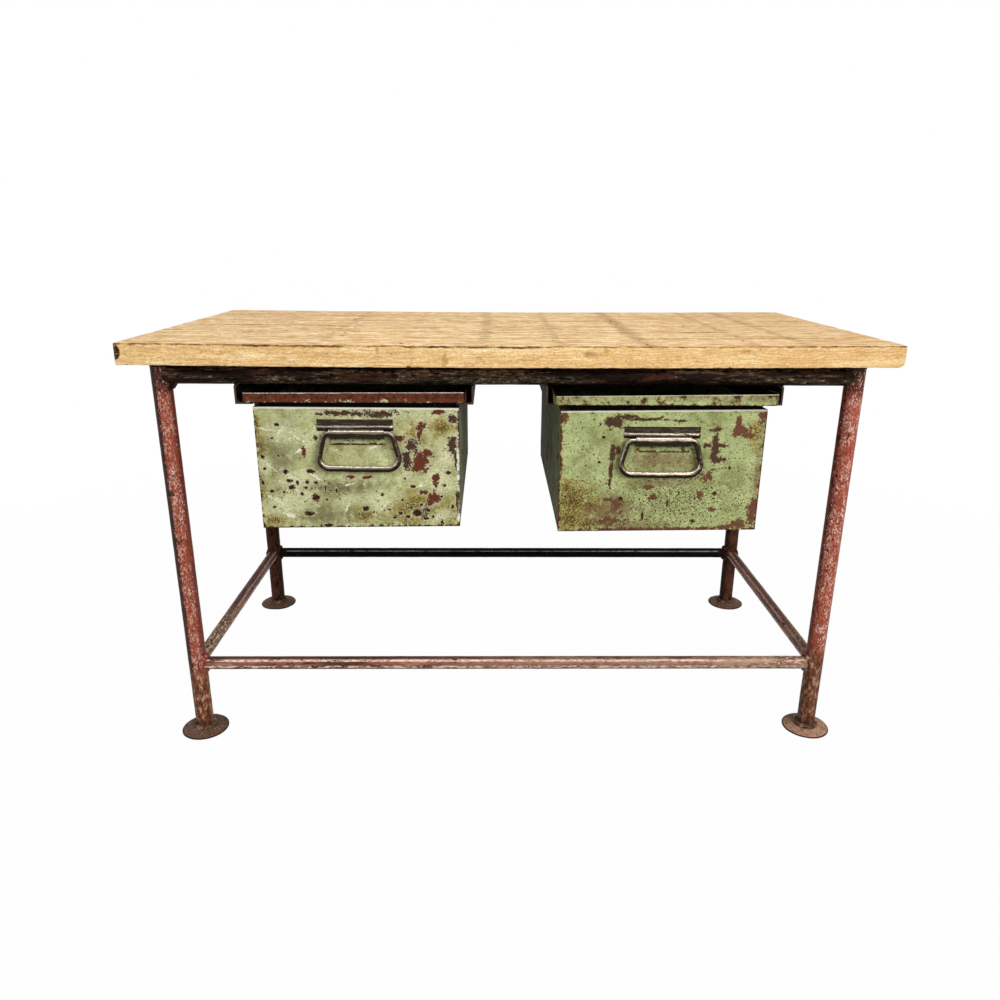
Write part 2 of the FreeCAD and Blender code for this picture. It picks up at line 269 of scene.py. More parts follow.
def solid_mesh(name, solid):
    """Mesh of a solid with every face of its closed shells turned to the outside."""
    points, faces = solid
    mesh = bpy.data.meshes.new(name)
    mesh.from_pydata(points.tolist(), [], faces)
    work = bmesh.new()
    work.from_mesh(mesh)
    bmesh.ops.recalc_face_normals(work, faces=work.faces)
    work.to_mesh(mesh)
    work.free()
    return mesh


def placed(name, data):
    """Object in the scene that shows some data."""
    thing = bpy.data.objects.new(name, data)
    bpy.context.scene.collection.objects.link(thing)
    return thing


def smooth(mesh, sharp):
    """Shade smooth but for edges sharper than an angle in degrees."""
    mesh.shade_smooth()
    mesh.set_sharp_from_angle(angle=math.radians(sharp))


def piece(name, solid, body, slot, nodes, along="X", marks=None, own=None, sharp=38.0, finish_name=None):
    """Finished object from a solid: outward, smooth, marked, painted, riding and in place of its nodes."""
    mesh = solid_mesh(name, solid)
    smooth(mesh, sharp)
    store(mesh, "own_place", own_place(solid[0], along, name) if own is None else own)
    for mark, values in (marks or {}).items():
        store(mesh, mark, values)
    return settle(placed(name, mesh), body, slot, nodes, finish_name)


def settle(thing, body, slot, nodes=(), finish_name=None):
    """Give a finished object its material and its place in the model."""
    thing.data.materials.clear()
    thing.data.materials.append(finish(finish_name or slot))
    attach(thing, body)
    if nodes:
        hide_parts(*nodes)
    return thing


# ---- finishes: node trees built in coats ----
def add(tree, kind, inputs=(), output=0, **settings):
    """Add a node, set it up, fill or link its inputs and return one output; Shader is left off its kind."""
    node = tree.nodes.new(kind if "Node" in kind else "ShaderNode" + kind)
    for name, value in settings.items():
        setattr(node, name, value)
    pairs = inputs.items() if isinstance(inputs, dict) else enumerate(inputs)
    for key, value in pairs:
        if isinstance(value, bpy.types.NodeSocket):
            tree.links.new(value, node.inputs[key])
        elif value is not None:
            node.inputs[key].default_value = value
    return node.outputs[output] if node.outputs else None


def blank_tree(block):
    """Empty node tree of a new material or world."""
    block.use_nodes = True
    block.node_tree.nodes.clear()
    return block.node_tree


class Finish:
    """A material laid in coats.

    A coat lies where its factors overlap.  A factor is a number, a mask, the name of a stored mark,
    or (value, 0 here, 1 here).
    """

    def __init__(self, name, colour, rough, metal=0.0):
        self.material = bpy.data.materials.new(name)
        self.add = partial(add, blank_tree(self.material))
        self.colour = paint(colour)
        self.rough = rough
        self.metal = metal
        self.height = 0.0
        self.material.diffuse_color = self.colour

    def mark(self, name):
        """A number stored at each point."""
        return self.add("Attribute", output="Fac", attribute_name=name)

    def own_place(self):
        """Place in the piece's own frame, with the length along its third axis."""
        return self.add("Attribute", output="Vector", attribute_name="own_place")

    def object_place(self):
        """Place in the model's frame."""
        return self.add("SeparateXYZ", (self.add("TexCoord", output="Object"),)).node.outputs

    def facing(self):
        """How far the surface faces right, back and up."""
        return self.add("SeparateXYZ", (self.add("NewGeometry", output="Normal"),)).node.outputs[:]

    def overlap(self, factors):
        """Product of factors."""
        result = None
        for factor in factors if isinstance(factors, list) else [factors]:
            if isinstance(factor, str):
                factor = self.mark(factor)
            elif isinstance(factor, tuple):
                factor = self.add("MapRange", factor, interpolation_type="SMOOTHSTEP")
            result = factor if result is None else self.add("Math", (result, factor), operation="MULTIPLY")
        return result

    def weighed(self, *terms):
        """Sum of (value, weight) pairs."""
        total = 0.0
        for value, weight in terms:
            total = self.add("Math", (value, weight, total), operation="MULTIPLY_ADD")
        return total

    def grain(self, size, stretch=1, detail=6, rough=0.7, seed=0, warp=0):
        """Noise of a size in mm across the piece, drawn out along it by the stretch, about 0.5 on average."""
        scale = (1 / mm(size), 1 / mm(size), 1 / (mm(size) * stretch))
        spread = self.add("Mapping", {0: self.own_place(), "Scale": scale, "Location": (seed, -seed, seed)})
        return self.add("TexNoise", {
            "Vector": spread, "Scale": 1, "Detail": detail, "Roughness": rough, "Distortion": warp})

    def slanted_grain(self, turn, sizes, detail, rough):
        """Noise of three sizes in mm along axes turned from the piece's own."""
        turned = self.add("Mapping", {0: self.own_place(), "Rotation": turn})
        spread = self.add("Mapping", {0: turned, "Scale": tuple(1 / mm(size) for size in sizes)})
        return self.add("TexNoise", {"Vector": spread, "Scale": 1, "Detail": detail, "Roughness": rough})

    def broken(self, mark, ragged, share, low, high):
        """A stored mark whose outline is broken up by a share of noise."""
        value = self.mark(mark)
        torn = self.weighed((value, 1), (ragged, share))
        return self.overlap([(torn, low + share / 2, high + share / 2), (value, 0.02, 0.16)])

    def specks(self, size, radius, keep, seed):
        """Ragged specks: cells of a size in mm, of which a share has a spot of a given radius (in cells)."""
        spread = self.add("Mapping", {
            0: self.own_place(), "Scale": (1 / mm(size),) * 3, "Location": (seed,) * 3})
        bent = self.add("TexNoise", {"Vector": spread, "Scale": 1.6, "Detail": 2}, output=1)
        moved = self.add("VectorMath", (bent, (0.55,) * 3, spread), operation="MULTIPLY_ADD")
        near = self.add("TexVoronoi", {"Vector": moved, "Scale": 1})
        cell = self.add("SeparateColor", (near.node.outputs["Color"],))
        kept = self.add("Math", (cell, keep), operation="LESS_THAN")
        return self.overlap([(near, radius, radius * 0.6), kept])

    def coat(self, factors, colour, rough=None, metal=None, lift=None):
        """Lay one coat; it may change colour, roughness, metal and height."""
        mask = self.overlap(factors)
        self.colour = self.add("Mix", {0: mask, 6: self.colour, 7: paint(colour)}, output=2, data_type="RGBA")
        if rough is not None:
            self.rough = self.add("Mix", {0: mask, 2: self.rough, 3: rough})
        if metal is not None:
            self.metal = self.add("Mix", {0: mask, 2: self.metal, 3: metal})
        if lift is not None:
            self.height = self.weighed((self.height, 1), (mask, lift))

    def shade(self, value, dark, light, lift=None):
        """Tone the colour so far from dark to light with a noise, which may lift the surface too."""
        tone = self.add("MapRange", (value, 0.3, 0.7, dark, light))
        self.colour = self.add("VectorMath", {0: self.colour, "Scale": tone}, operation="SCALE")
        if lift:
            self.height = self.weighed((self.height, 1), (value, lift))

    def close(self, relief, specular=0.5):
        """Shader over all coats; relief is the real height in mm of a lift of 1."""
        bump = self.add("Bump", {"Height": self.height, "Distance": mm(relief)})
        shader = self.add("BsdfPrincipled", {
            "Base Color": self.colour, "Roughness": self.rough, "Metallic": self.metal, "Normal": bump,
            "Specular IOR Level": specular, "Coat Roughness": 0.2})
        self.add("OutputMaterial", {"Surface": shader})
        return self.material


RING_WAVE = 0.314  # a ring wave of scale 1 repeats after this length


def oiled_timber():
    """Oiled softwood boards: warm wax lustre, ring figure along the grain, brown old stains."""
    look = bpy.context.scene.bench_timber
    skin = Finish("oiled_softwood", look.early_wood, 0.55)
    figure = skin.own_place()
    slow = skin.add("Mapping", {0: figure, "Scale": (1 / mm(70), 1 / mm(70), 1 / mm(420))})
    swirl = skin.add("TexNoise", {"Vector": slow, "Scale": 1.0, "Detail": 2.0}, output=1)
    # this much drift in the pith makes the cathedral figure on the flat-sawn faces
    drift = (look.pith_drift, look.pith_drift, 0.0)
    drifted = skin.add("VectorMath", (swirl, drift, figure), operation="MULTIPLY_ADD")
    rings = skin.add("TexWave", {
        "Vector": drifted, "Scale": RING_WAVE / look.ring_spacing, "Distortion": 5.0, "Detail": 5.0,
        "Detail Scale": 0.6}, output=1, wave_type="RINGS", rings_direction="Z")
    skin.coat([(rings, 0.35, 1.0), 0.4], look.late_wood, lift=0.35)
    # the planed front edge shows its figure less than the worn top does
    planed = (skin.mark("planed"), 1.6, 0.0)
    boards = skin.grain(42, 5, detail=4, rough=0.6, seed=5)
    skin.coat([(boards, 0.5, 0.66), planed, 0.75], "#CE9E5A")
    skin.coat([(boards, 0.48, 0.34), 0.6], "#F9DCA4")
    bands = skin.grain(13, 8, seed=2)
    skin.coat([(bands, 0.53, 0.66), 0.72], "#FCE3B2")
    skin.coat([(bands, 0.48, 0.36), planed, 0.8], "#B07C40")
    streaks = skin.grain(3.4, 8, detail=5, rough=0.75, seed=7)
    skin.coat([(streaks, 0.53, 0.66), 0.7], "#FFEBC4")
    skin.coat([(streaks, 0.46, 0.35), planed, 0.8], "#946430", lift=-0.5)
    fibre = skin.grain(1.5, 7, detail=4, rough=0.75, seed=9)
    skin.shade(fibre, 0.78, 1.28, lift=1)
    ripple = skin.grain(2.2, 2.5, detail=3, rough=0.6, seed=37, warp=1.5)
    skin.coat([(ripple, 0.56, 0.66), "planed", 0.5], "#A8763A")
    # the scrub plane left short slanting marks on every face
    hatch = skin.slanted_grain((0.7, 0.7, 0.0), (2.6, 2.6, 15), detail=4, rough=0.7)
    skin.coat([(hatch, 0.55, 0.63), 0.5], "#A8743A", lift=-0.3)
    skin.coat([(hatch, 0.43, 0.36), 0.45], "#FFE9BE", lift=0.3)
    # years of work have scuffed the top in short broad flecks
    top = (skin.facing()[2], 0.5, 0.9)
    scuff = skin.slanted_grain((0.0, 0.12, 0.0), (14, 20, 32), detail=5, rough=0.8)
    skin.coat([(scuff, 0.53, 0.6), top, 0.55], "#A66F2E", lift=-0.3)
    skin.coat([(scuff, 0.47, 0.4), top, 0.6], "#FFF0CE", lift=0.3)
    mottle = skin.grain(11, 2, seed=11)
    skin.coat([(mottle, 0.56, 0.68), 0.5], "#A0743C")
    nicks = skin.grain(3.2, 3, detail=4, seed=21)
    skin.coat([(nicks, 0.65, 0.71), 0.8], "#6E441E", lift=-0.6)
    stain = skin.broken("stain", mottle, 2.2, 0.2, 1.1)
    skin.coat([stain, 0.66], look.stain, rough=0.6)
    handled = (skin.object_place()["X"], 0.0, 0.75)
    skin.coat([handled, 0.22], "#B88A4C")
    torn = skin.grain(5, 3, detail=5, seed=4)
    skin.coat(skin.broken("dirt", torn, 1.6, 0.3, 0.9), "#5A3517", rough=0.8, lift=-1)
    skin.coat([skin.broken("bark", torn, 0.9, 0.3, 0.5), 0.95], "#1E110A", rough=0.85, lift=-1)
    skin.coat(["bark", (nicks, 0.52, 0.58), 0.9], "#C9A468", rough=0.8)
    return skin.close(0.4, specular=0.15)


def cleat_timber():
    """Planed softwood that was never oiled: paler, greyer and dry, with saw fibres."""
    skin = Finish("dry_softwood", "#B08A5C", 0.75)
    streaks = skin.grain(4, 24, detail=4, rough=0.55)
    skin.coat((streaks, 0.5, 0.75), "#CBA877")
    skin.coat((streaks, 0.46, 0.3), "#7E5C38", lift=-0.5)
    skin.shade(skin.grain(40, 3, detail=4, rough=0.55, seed=3), 0.75, 1.1)
    skin.shade(skin.grain(1, 30, detail=4, rough=0.55), 0.9, 1.05, lift=1)
    return skin.close(0.4, specular=0.25)


def screw_steel():
    """Old bright-drawn screws gone brown: dull metal with rust in the slot and round the head."""
    skin = Finish("browned_screw_steel", "#6E625A", 0.5, 0.8)
    skin.coat((skin.grain(3, detail=4, rough=0.55), 0.45, 0.6), "#5A3322", rough=0.85, metal=0.0, lift=0.4)
    return skin.close(0.2)


def red_oxide_tube():
    """Red-oxide primed steel tube: chalky brick red, lighter in front with painted highlight and rubbed pink
    specks, painted shade down both sides, chipped to dark scale.
    """
    look = bpy.context.scene.bench_frame
    skin = Finish("red_oxide_primer_on_tube", look.primer, 0.5)
    place = skin.object_place()
    height, across = place["Z"], place["X"]
    right, back = skin.facing()[:2]
    cloud = skin.grain(20, 3.5, detail=5, rough=0.65, seed=1)
    fine = skin.grain(4, 2.2, rough=0.75, seed=3)
    grain = skin.grain(3.2, 1.7, detail=4, seed=23)
    grit = skin.grain(3.2, 1.5, detail=3, rough=0.6, seed=6)
    skin.coat((cloud, 0.49, 0.6), "#70291C")
    # the front face is lighter: partly painted highlight from the lamps in front, partly chalky primer worn
    # to pinkish white specks where it is struck
    lit_and_worn_front = skin.overlap([(back, -0.3, -0.85), (cloud, 0.3, 0.5)])
    skin.coat([lit_and_worn_front, 0.5], "#A95C47", rough=0.6)
    clumps = skin.grain(9, 2.4, detail=4, rough=0.6, seed=41)
    skin.coat([lit_and_worn_front, (clumps, 0.46, 0.58), (grain, 0.47, 0.56), 0.9], "#DBB09C", rough=0.7, lift=0.3)
    skin.coat([lit_and_worn_front, (grain, 0.6, 0.66)], "#DDB6A4", rough=0.7, lift=0.3)
    skin.coat([(grain, 0.46, 0.38), 0.8], "#692314", lift=-0.3)
    skin.coat([(grit, 0.57, 0.66), (back, 0.2, -0.5), (cloud, 0.46, 0.56)], "#EBD3C7", lift=0.3)
    # painted shade: both sides of the tube are darkened by their facing, the left side most
    shaded_left_side = skin.weighed((fine, 1.2), (right, -0.8), (across, -0.45))
    skin.coat((shaded_left_side, 1.04, 1.2), "#35150F", rough=0.45)
    shaded_right_side = skin.weighed((fine, 1.2), (right, 0.6))
    skin.coat([(shaded_right_side, 1.0, 1.3), 0.8], "#4E241A", rough=0.45)
    below = skin.overlap((skin.weighed((height, 1.0), (cloud, 0.12), (across, -0.04)), 0.25, 0.19))
    skin.coat([below, 0.8], "#744629")
    spots = skin.grain(8, 2.2, seed=13)
    skin.coat([below, (spots, 0.53, 0.59), 0.8], "#CBA88B", rough=0.6, lift=0.3)
    skin.coat([below, (spots, 0.48, 0.41), 0.85], "#3A1F10", rough=0.6, lift=-0.3)
    skin.coat([below, (across, 0.3, 0.6), 0.35], "#41210F")
    chips = skin.weighed((skin.grain(8, 1.8, seed=8), 1.0), (right, -0.08))
    skin.coat((chips, 0.62, 0.66), "#35190F", rough=0.55, lift=-1)
    skin.coat(skin.broken("bare", fine, 2.0, 0.4, 0.6), "#2A1710", rough=0.55, lift=-1)
    skin.coat([skin.broken("pale", grain, 1.0, 0.3, 0.6), 0.8], "#D2B0A2", rough=0.55, lift=0.3)
    # near the rails the tube turns brown-black: partly dark paint, partly painted shade under the top
    near_rail = skin.weighed((height, 1.0), (fine, 0.10))
    skin.coat([(near_rail, 0.795, 0.835), (grain, 0.62, 0.5)], "#24130E", rough=0.45)
    near_floor = skin.weighed((height, 1.0), (fine, 0.03))
    skin.coat([(near_floor, 0.062, 0.03), 0.8], "#3B1D13")
    skin.shade(fine, 0.68, 1.36, lift=1)
    return skin.close(0.35, specular=0.12)


def dull_back_tube():
    """Rear legs: the same primer, much darker and duller, with painted shade down both sides."""
    skin = Finish("greasy_primer_on_tube", "#4A2C1F", 0.45)
    cloud = skin.grain(14, 2.5, detail=5, rough=0.65, seed=1)
    fine = skin.grain(4, 1.8, rough=0.75, seed=3)
    skin.coat((cloud, 0.48, 0.6), "#220E07")
    skin.coat((fine, 0.6, 0.67), "#8A6650", rough=0.6, lift=0.4)
    skin.coat([(cloud, 0.44, 0.36), 0.6], "#693E2C")
    # painted shade: both sides of the tube are darkened by their facing
    right = skin.facing()[0]
    skin.coat([(right, -0.5, -1.0), 0.7], "#1B0C06")
    skin.coat([(right, 0.5, 1.0), 0.7], "#1B0C06")
    skin.shade(fine, 0.7, 1.25, lift=1)
    return skin.close(0.3, specular=0.05)


def worn_brown(name, colour, highlight_strength):
    """Brown lacquer on tube, worn by feet to salmon and ochre flakes, with a painted highlight line of some
    strength.
    """
    skin = Finish(name, colour, 0.36)
    up = skin.facing()[2]
    cloud = skin.grain(14, 6, detail=5, rough=0.65, seed=1)
    fine = skin.grain(3.5, 3, detail=5, seed=3)
    skin.coat([(cloud, 0.5, 0.58), 0.9], "#4C291A")
    skin.coat([(cloud, 0.46, 0.36), 0.7], "#A97C66")
    # one painted highlight line runs a little in front of the top
    ridge = skin.overlap([(up, 0.54, 0.66), (up, 0.88, 0.79), (fine, 0.3, 0.55)])
    skin.coat([ridge, highlight_strength], "#F0DED0", rough=0.3)
    skin.coat([(up, 0.86, 0.98), 0.8], "#4A2B1F", rough=0.5)
    # painted shade: the underside is darker
    skin.coat([(up, -0.2, -0.6), 0.85], "#371E14", rough=0.5)
    flakes = skin.grain(5, 3, rough=0.75, seed=7)
    skin.coat([(up, 0.06, -0.1), (up, -0.62, -0.4), (flakes, 0.47, 0.52)], "#F6D8C4", rough=0.55, lift=0.5)
    chips = skin.grain(8, 3.5, seed=9)
    skin.coat((chips, 0.57, 0.61), "#2F1A12", rough=0.6, lift=-0.8)
    leaf = skin.grain(4.5, 2.8, seed=12)
    skin.coat(["creamy", (cloud, 0.42, 0.56), 0.8], "#C9A487", rough=0.4)
    skin.coat(["creamy", (leaf, 0.55, 0.6), 0.85], "#4A2C1C", rough=0.6)
    skin.coat(["golden", 0.6], "#7A5540", rough=0.5)
    skin.coat(["golden", (leaf, 0.52, 0.58)], "#DCC3A8", rough=0.5, lift=0.5)
    skin.coat(["golden", (leaf, 0.44, 0.38)], "#3E271A", rough=0.6)
    skin.shade(fine, 0.72, 1.25, lift=1)
    return skin.close(0.3, specular=0.12)


def brown_tube():
    """Front stretcher: the lacquer with one strong painted highlight line along it."""
    return worn_brown("foot_polished_brown_tube", "#8A5342", 0.85)


def plain_brown_tube():
    """Side stretchers: the same lacquer with a faint painted highlight line."""
    return worn_brown("plain_brown_tube", "#91543F", 0.35)


def black_tube():
    """Gloss black enamel: nearly black, one sharp painted highlight line, red-brown where it was welded."""
    skin = Finish("gloss_black_enamel", "#0D0C0B", 0.22)
    up = skin.facing()[2]
    fine = skin.grain(5, 4, detail=5, seed=3)
    # painted highlight: a thin light line along the upper face
    skin.coat([(up, 0.52, 0.6), (up, 0.74, 0.66), (fine, 0.3, 0.55), 0.8], "#A9A6A2")
    skin.coat(skin.broken("scorched", fine, 1.2, 0.35, 0.65), "#20120D", rough=0.55)
    chips = skin.grain(7, 3, detail=5, rough=0.55, seed=9)
    skin.coat((chips, 0.66, 0.69), "#33241D", rough=0.6, lift=-0.5)
    skin.shade(fine, 0.85, 1.15, lift=0.4)
    return skin.close(0.15, specular=0.015)


def dark_tube():
    """Top rails: brown-black grease and old paint, scuffed grey-green and tan along the lower face."""
    skin = Finish("grimy_brown_black_tube", "#1D130D", 0.5)
    up = skin.facing()[2]
    cloud = skin.grain(16, 6, rough=0.68, seed=1)
    fine = skin.grain(4, 3, rough=0.75, seed=3)
    skin.coat((cloud, 0.53, 0.62), "#0C0604")
    skin.coat([(cloud, 0.48, 0.4), 0.85], "#45281D")
    # the lower front face is scuffed; long worn patches alternate with black ones
    worn = skin.grain(20, 7, detail=5, seed=17)
    stretch = skin.grain(26, 9, detail=5, seed=27)
    low_face = skin.overlap([(up, 0.25, -0.1), (worn, 0.49, 0.57)])
    skin.coat([low_face, 0.75], "#42382B", rough=0.5, lift=0.3)
    skin.coat([low_face, (fine, 0.53, 0.61)], "#857860", rough=0.6, lift=0.3)
    high_face = skin.overlap([(up, 0.0, 0.3), (stretch, 0.48, 0.56)])
    skin.coat([high_face, 0.9], "#4A3425", rough=0.5)
    skin.coat([high_face, (fine, 0.5, 0.58), 0.9], "#7A6650", rough=0.6, lift=0.3)
    drips = skin.grain(7, 2.5, rough=0.75, seed=33)
    skin.coat((drips, 0.54, 0.59), "#0A0504", rough=0.5)
    skin.shade(fine, 0.7, 1.25, lift=1)
    return skin.close(0.3, specular=0.03)


def dark_angle():
    """Hot-rolled angle under old black paint: nearly black, worn to brown steel along the edges."""
    skin = Finish("blackened_rolled_angle", "#15100D", 0.55)
    cloud = skin.grain(14, 4, detail=5, rough=0.65, seed=1)
    fine = skin.grain(4, 2, rough=0.75, seed=3)
    skin.coat((cloud, 0.54, 0.64), "#301D15", rough=0.6)
    skin.coat([skin.broken("edge", fine, 1.6, 0.5, 0.85), 0.7], "#5A463B", rough=0.45)
    skin.shade(fine, 0.75, 1.2, lift=1)
    return skin.close(0.35, specular=0.03)


def rusty_steel():
    """Pressed steel foot discs: brown rust skin, rubbed to tan metal on top, dark at the thin edge."""
    skin = Finish("rust_skinned_steel_disc", "#604636", 0.55)
    cloud = skin.grain(11, seed=1, warp=0.6)
    fine = skin.grain(3.2, rough=0.75, seed=3)
    skin.coat((cloud, 0.5, 0.6), "#3A2315", rough=0.65)
    skin.coat(["pale", (cloud, 0.36, 0.56)], "#B58B73", rough=0.5)
    skin.coat([(fine, 0.55, 0.62), 0.45], "#47291B", rough=0.6)
    skin.coat([(cloud, 0.46, 0.38), (fine, 0.45, 0.6)], "#A8927E", rough=0.45)
    skin.coat([(fine, 0.6, 0.68), 0.8], "#C0A694", rough=0.4)
    skin.coat((fine, 0.42, 0.35), "#24120A", rough=0.8, lift=-0.6)
    skin.coat(skin.broken("edge", fine, 1.0, 0.4, 0.8), "#2E1C12")
    skin.shade(fine, 0.7, 1.25, lift=1)
    return skin.close(0.4, specular=0.1)


def handle_steel():
    """Handles of mild steel gone brown: dark oxide deepened by painted shade on faces that look down, bright
    metal on faces that look up and left, partly polished and partly painted highlight.
    """
    skin = Finish("dark_steel_with_painted_light", "#8E806E", 0.26, 0.95)
    right, up = skin.facing()[::2]
    cloud = skin.grain(7, 4, detail=5, rough=0.65, seed=1)
    fine = skin.grain(2.5, 3, rough=0.75, seed=3)
    # painted shade: the dark oxide is deepest on faces that look down
    oxide_and_shade = skin.weighed((cloud, 0.7), (up, -0.5))
    skin.coat((oxide_and_shade, 0.06, 0.38), "#2B1F17", rough=0.42)
    skin.coat([(oxide_and_shade, 0.42, 0.66), 0.8], "#120B08", rough=0.5)
    # painted highlight on faces that look to the left
    skin.coat([(right, -0.25, -0.6), (up, -0.2, 0.3), (fine, 0.4, 0.5), 0.7], "#B8AC98", rough=0.25)
    skin.coat((cloud, 0.6, 0.68), "#4A3226", rough=0.75, metal=0.2)
    # darker where marked: dirt on the plate's strip, painted shade under the knuckle
    skin.coat(["grime", (fine, 0.3, 0.56)], "#241911", rough=0.7, metal=0.1)
    # bright metal on faces that look up: partly polished, partly painted highlight
    skin.coat([(up, 0.45, 0.8), (fine, 0.36, 0.52), 0.9], "#F6F1E4", rough=0.2, metal=1.0)
    skin.shade(fine, 0.75, 1.2, lift=1)
    return skin.close(0.15, specular=0.3)


def drawer_enamel(name, colour, tones):
    """Green machine enamel on folded sheet: chipped through red primer to dark steel, ochre rust bloom."""
    skin = Finish(name, colour, 0.5)
    cloud = skin.grain(42, detail=5, rough=0.6, seed=1)
    patch = skin.grain(11, seed=2, warp=0.5)
    fine = skin.grain(4, rough=0.75, seed=3, warp=0.3)
    torn = skin.weighed((patch, 0.6), (fine, 0.4))
    brushed = skin.grain(4, 5, detail=5, seed=14, warp=2)
    skin.coat((cloud, 0.5, 0.62), tones["pale"])
    skin.coat([(cloud, 0.49, 0.36), 0.85], tones["dull"])
    skin.coat([(torn, 0.53, 0.58), 0.4], tones["dull"])
    skin.coat([(torn, 0.46, 0.41), 0.5], tones["pale"])
    skin.coat([(brushed, 0.57, 0.63), tones["scuffs"]], "#DCDDB8", rough=0.55)
    skin.coat([skin.broken("ochre", torn, 4.0, 0.35, 0.75), 0.65], "#A58F3E", rough=0.6)
    skin.coat([skin.broken("ochre", torn, 4.5, 0.7, 0.95), 0.4], "#7A5A22", rough=0.7)
    skin.coat([skin.broken("ochre", fine, 3.4, 0.78, 0.92), 0.9], "#4E3410", rough=0.75)
    skin.coat([skin.broken("shade", torn, 2.6, 0.3, 0.9), 0.7], tones["shade"], rough=0.6)
    skin.coat(skin.broken("scrape", fine, 2.4, 0.42, 0.6), "#E9E8CB", rough=0.6, lift=-0.3)
    bleached = skin.broken("bleached", torn, 3.0, 0.35, 0.8)
    skin.coat([bleached, 0.7], "#D4D5A6", rough=0.6)
    crazed = skin.grain(5, 2, detail=5, seed=51, warp=1.5)
    skin.coat([bleached, (crazed, 0.55, 0.61), 0.8], "#EDEBC8", rough=0.6, lift=-0.3)
    skin.coat([bleached, (crazed, 0.44, 0.38), 0.6], "#7E7A52", rough=0.6)
    # rust specks come through the paint everywhere, most of all where it is pitted
    pits = skin.grain(tones["pit"], detail=4, rough=0.6, seed=31, warp=0.8)
    pitted = skin.mark("pitted")
    speckled = skin.weighed((pits, 1.0), (pitted, 0.09), (cloud, 0.07))
    start = tones["specks"]
    skin.coat((speckled, start - 0.035, start), tones["rust"])
    for factors in ((speckled, start + 0.01, start + 0.04),
                    [skin.specks(9, 0.2, tones["peppered"], 5.0), 0.85],
                    [skin.specks(6, 0.22, 0.85, 9.0), (pitted, 0.3, 0.6), 0.85]):
        skin.coat(factors, tones["pit_floor"], rough=0.7, lift=-1)
    # hairline scratches: narrow contours of a slow noise, only here and there
    hair = skin.grain(34, detail=3, rough=0.6, seed=61, warp=2)
    skin.coat([(hair, 0.49, 0.497), (hair, 0.511, 0.504), (patch, 0.5, 0.58), 0.8], tones["steel"],
              rough=0.7, lift=-0.6)
    skin.coat([(hair, 0.54, 0.546), (hair, 0.56, 0.554), (patch, 0.46, 0.4), 0.8], tones["rim"], rough=0.6)
    for mark, ragged, share, over in (("primer", torn, tones["tear"], "primer"),
                                      ("bare", torn, 3.6, "steel"), ("chip", fine, 2.2, "hole")):
        skin.coat(skin.broken(mark, ragged, share, 0.3, 0.4), tones["rim"], rough=0.5)
        skin.coat(skin.broken(mark, ragged, share, 0.42, 0.47), tones[over], rough=0.6, lift=-1)
    skin.coat(skin.broken("edge", patch, 2.6, 0.62, 0.74), tones["edge"], rough=0.65, lift=-0.8)
    skin.shade(fine, 0.74, 1.22, lift=0.6)
    # bright line along the top folds and edges: partly paint rubbed pale, partly painted highlight
    skin.coat(skin.broken("rub_and_highlight", fine, 1.6, 0.4, 0.7), tones["rub_and_highlight"], rough=0.4)
    # near black where marked: dirt inside the drawer, painted shade on the hidden shelf, inside the rim and
    # under the handle's knuckle
    skin.coat(["grime", (patch, 0.1, 0.42)], tones["grime"], rough=0.85)
    return skin.close(0.35, specular=0.06)


def pale_green_sheet():
    """Left drawer: sun-bleached grey-green enamel with pale scratches and large primer blotches."""
    return drawer_enamel("bleached_green_enamel", bpy.context.scene.bench_drawers.left_paint, {
        "pale": "#C9CB98", "dull": "#8F8A50", "rim": "#E0DEB4", "primer": "#633323", "steel": "#4A3529",
        "hole": "#38200F", "edge": "#40271A", "grime": "#120D08", "rust": "#8A7A48", "rub_and_highlight": "#F3EFE2",
        "shade": "#6A6544", "scuffs": 0.9, "specks": 0.7, "peppered": 0.07, "tear": 3.4, "pit": 6,
        "pit_floor": "#38200F",
    })


def green_sheet():
    """Right drawer: greener enamel, evenly peppered with fine rust specks, rust along every edge."""
    return drawer_enamel("peppered_green_enamel", bpy.context.scene.bench_drawers.right_paint, {
        "pale": "#B6BF84", "dull": "#8B8E58", "rim": "#8E7F52", "primer": "#6B4532", "steel": "#4C3629",
        "hole": "#3E2614", "edge": "#5E3621", "grime": "#0F0C08", "rust": "#7A6A3E", "rub_and_highlight": "#DEDCC4",
        "shade": "#775A42", "scuffs": 0.3, "specks": 0.66, "peppered": 0.6, "tear": 5.0, "pit": 3.4,
        "pit_floor": "#452C16",
    })


FINISHES = {make.__name__: make for make in (
    oiled_timber, cleat_timber, screw_steel, red_oxide_tube, dull_back_tube, rusty_steel, black_tube,
    brown_tube, plain_brown_tube, dark_tube, dark_angle, handle_steel, pale_green_sheet, green_sheet)}
made_finishes = {}


def finish(name):
    """Material of a finish, built when it is first needed."""
    if name not in made_finishes:
        made_finishes[name] = FINISHES[name]()
    return made_finishes[name]


# ---- plank top ----
# old stains that cross the top: place along X, half width (mm) and depth
STAIN_BANDS = (
    (-372, 9, 0.75), (-346, 5, 0.4), (-212, 8, 0.65), (-53, 11, 0.85), (92, 8, 0.8), (258, 15, 1.05),
    (420, 6, 0.5), (469, 10, 0.8), (567, 11, 0.9), (-560, 8, 0.5),
)
# darker places on the front edge: X, height over the bottom, half sizes (mm) and depth
EDGE_SMUDGES = (
    (-255, 34, 4, 22, 0.8), (150, 27, 22, 8, 0.75), (178, 34, 8, 6, 0.8), (445, 32, 12, 4, 1.0),
    (470, 36, 5, 3, 0.9), (-128, 14, 7, 14, 0.65), (40, 20, 26, 10, 0.45), (-60, 24, 20, 8, 0.4),
)
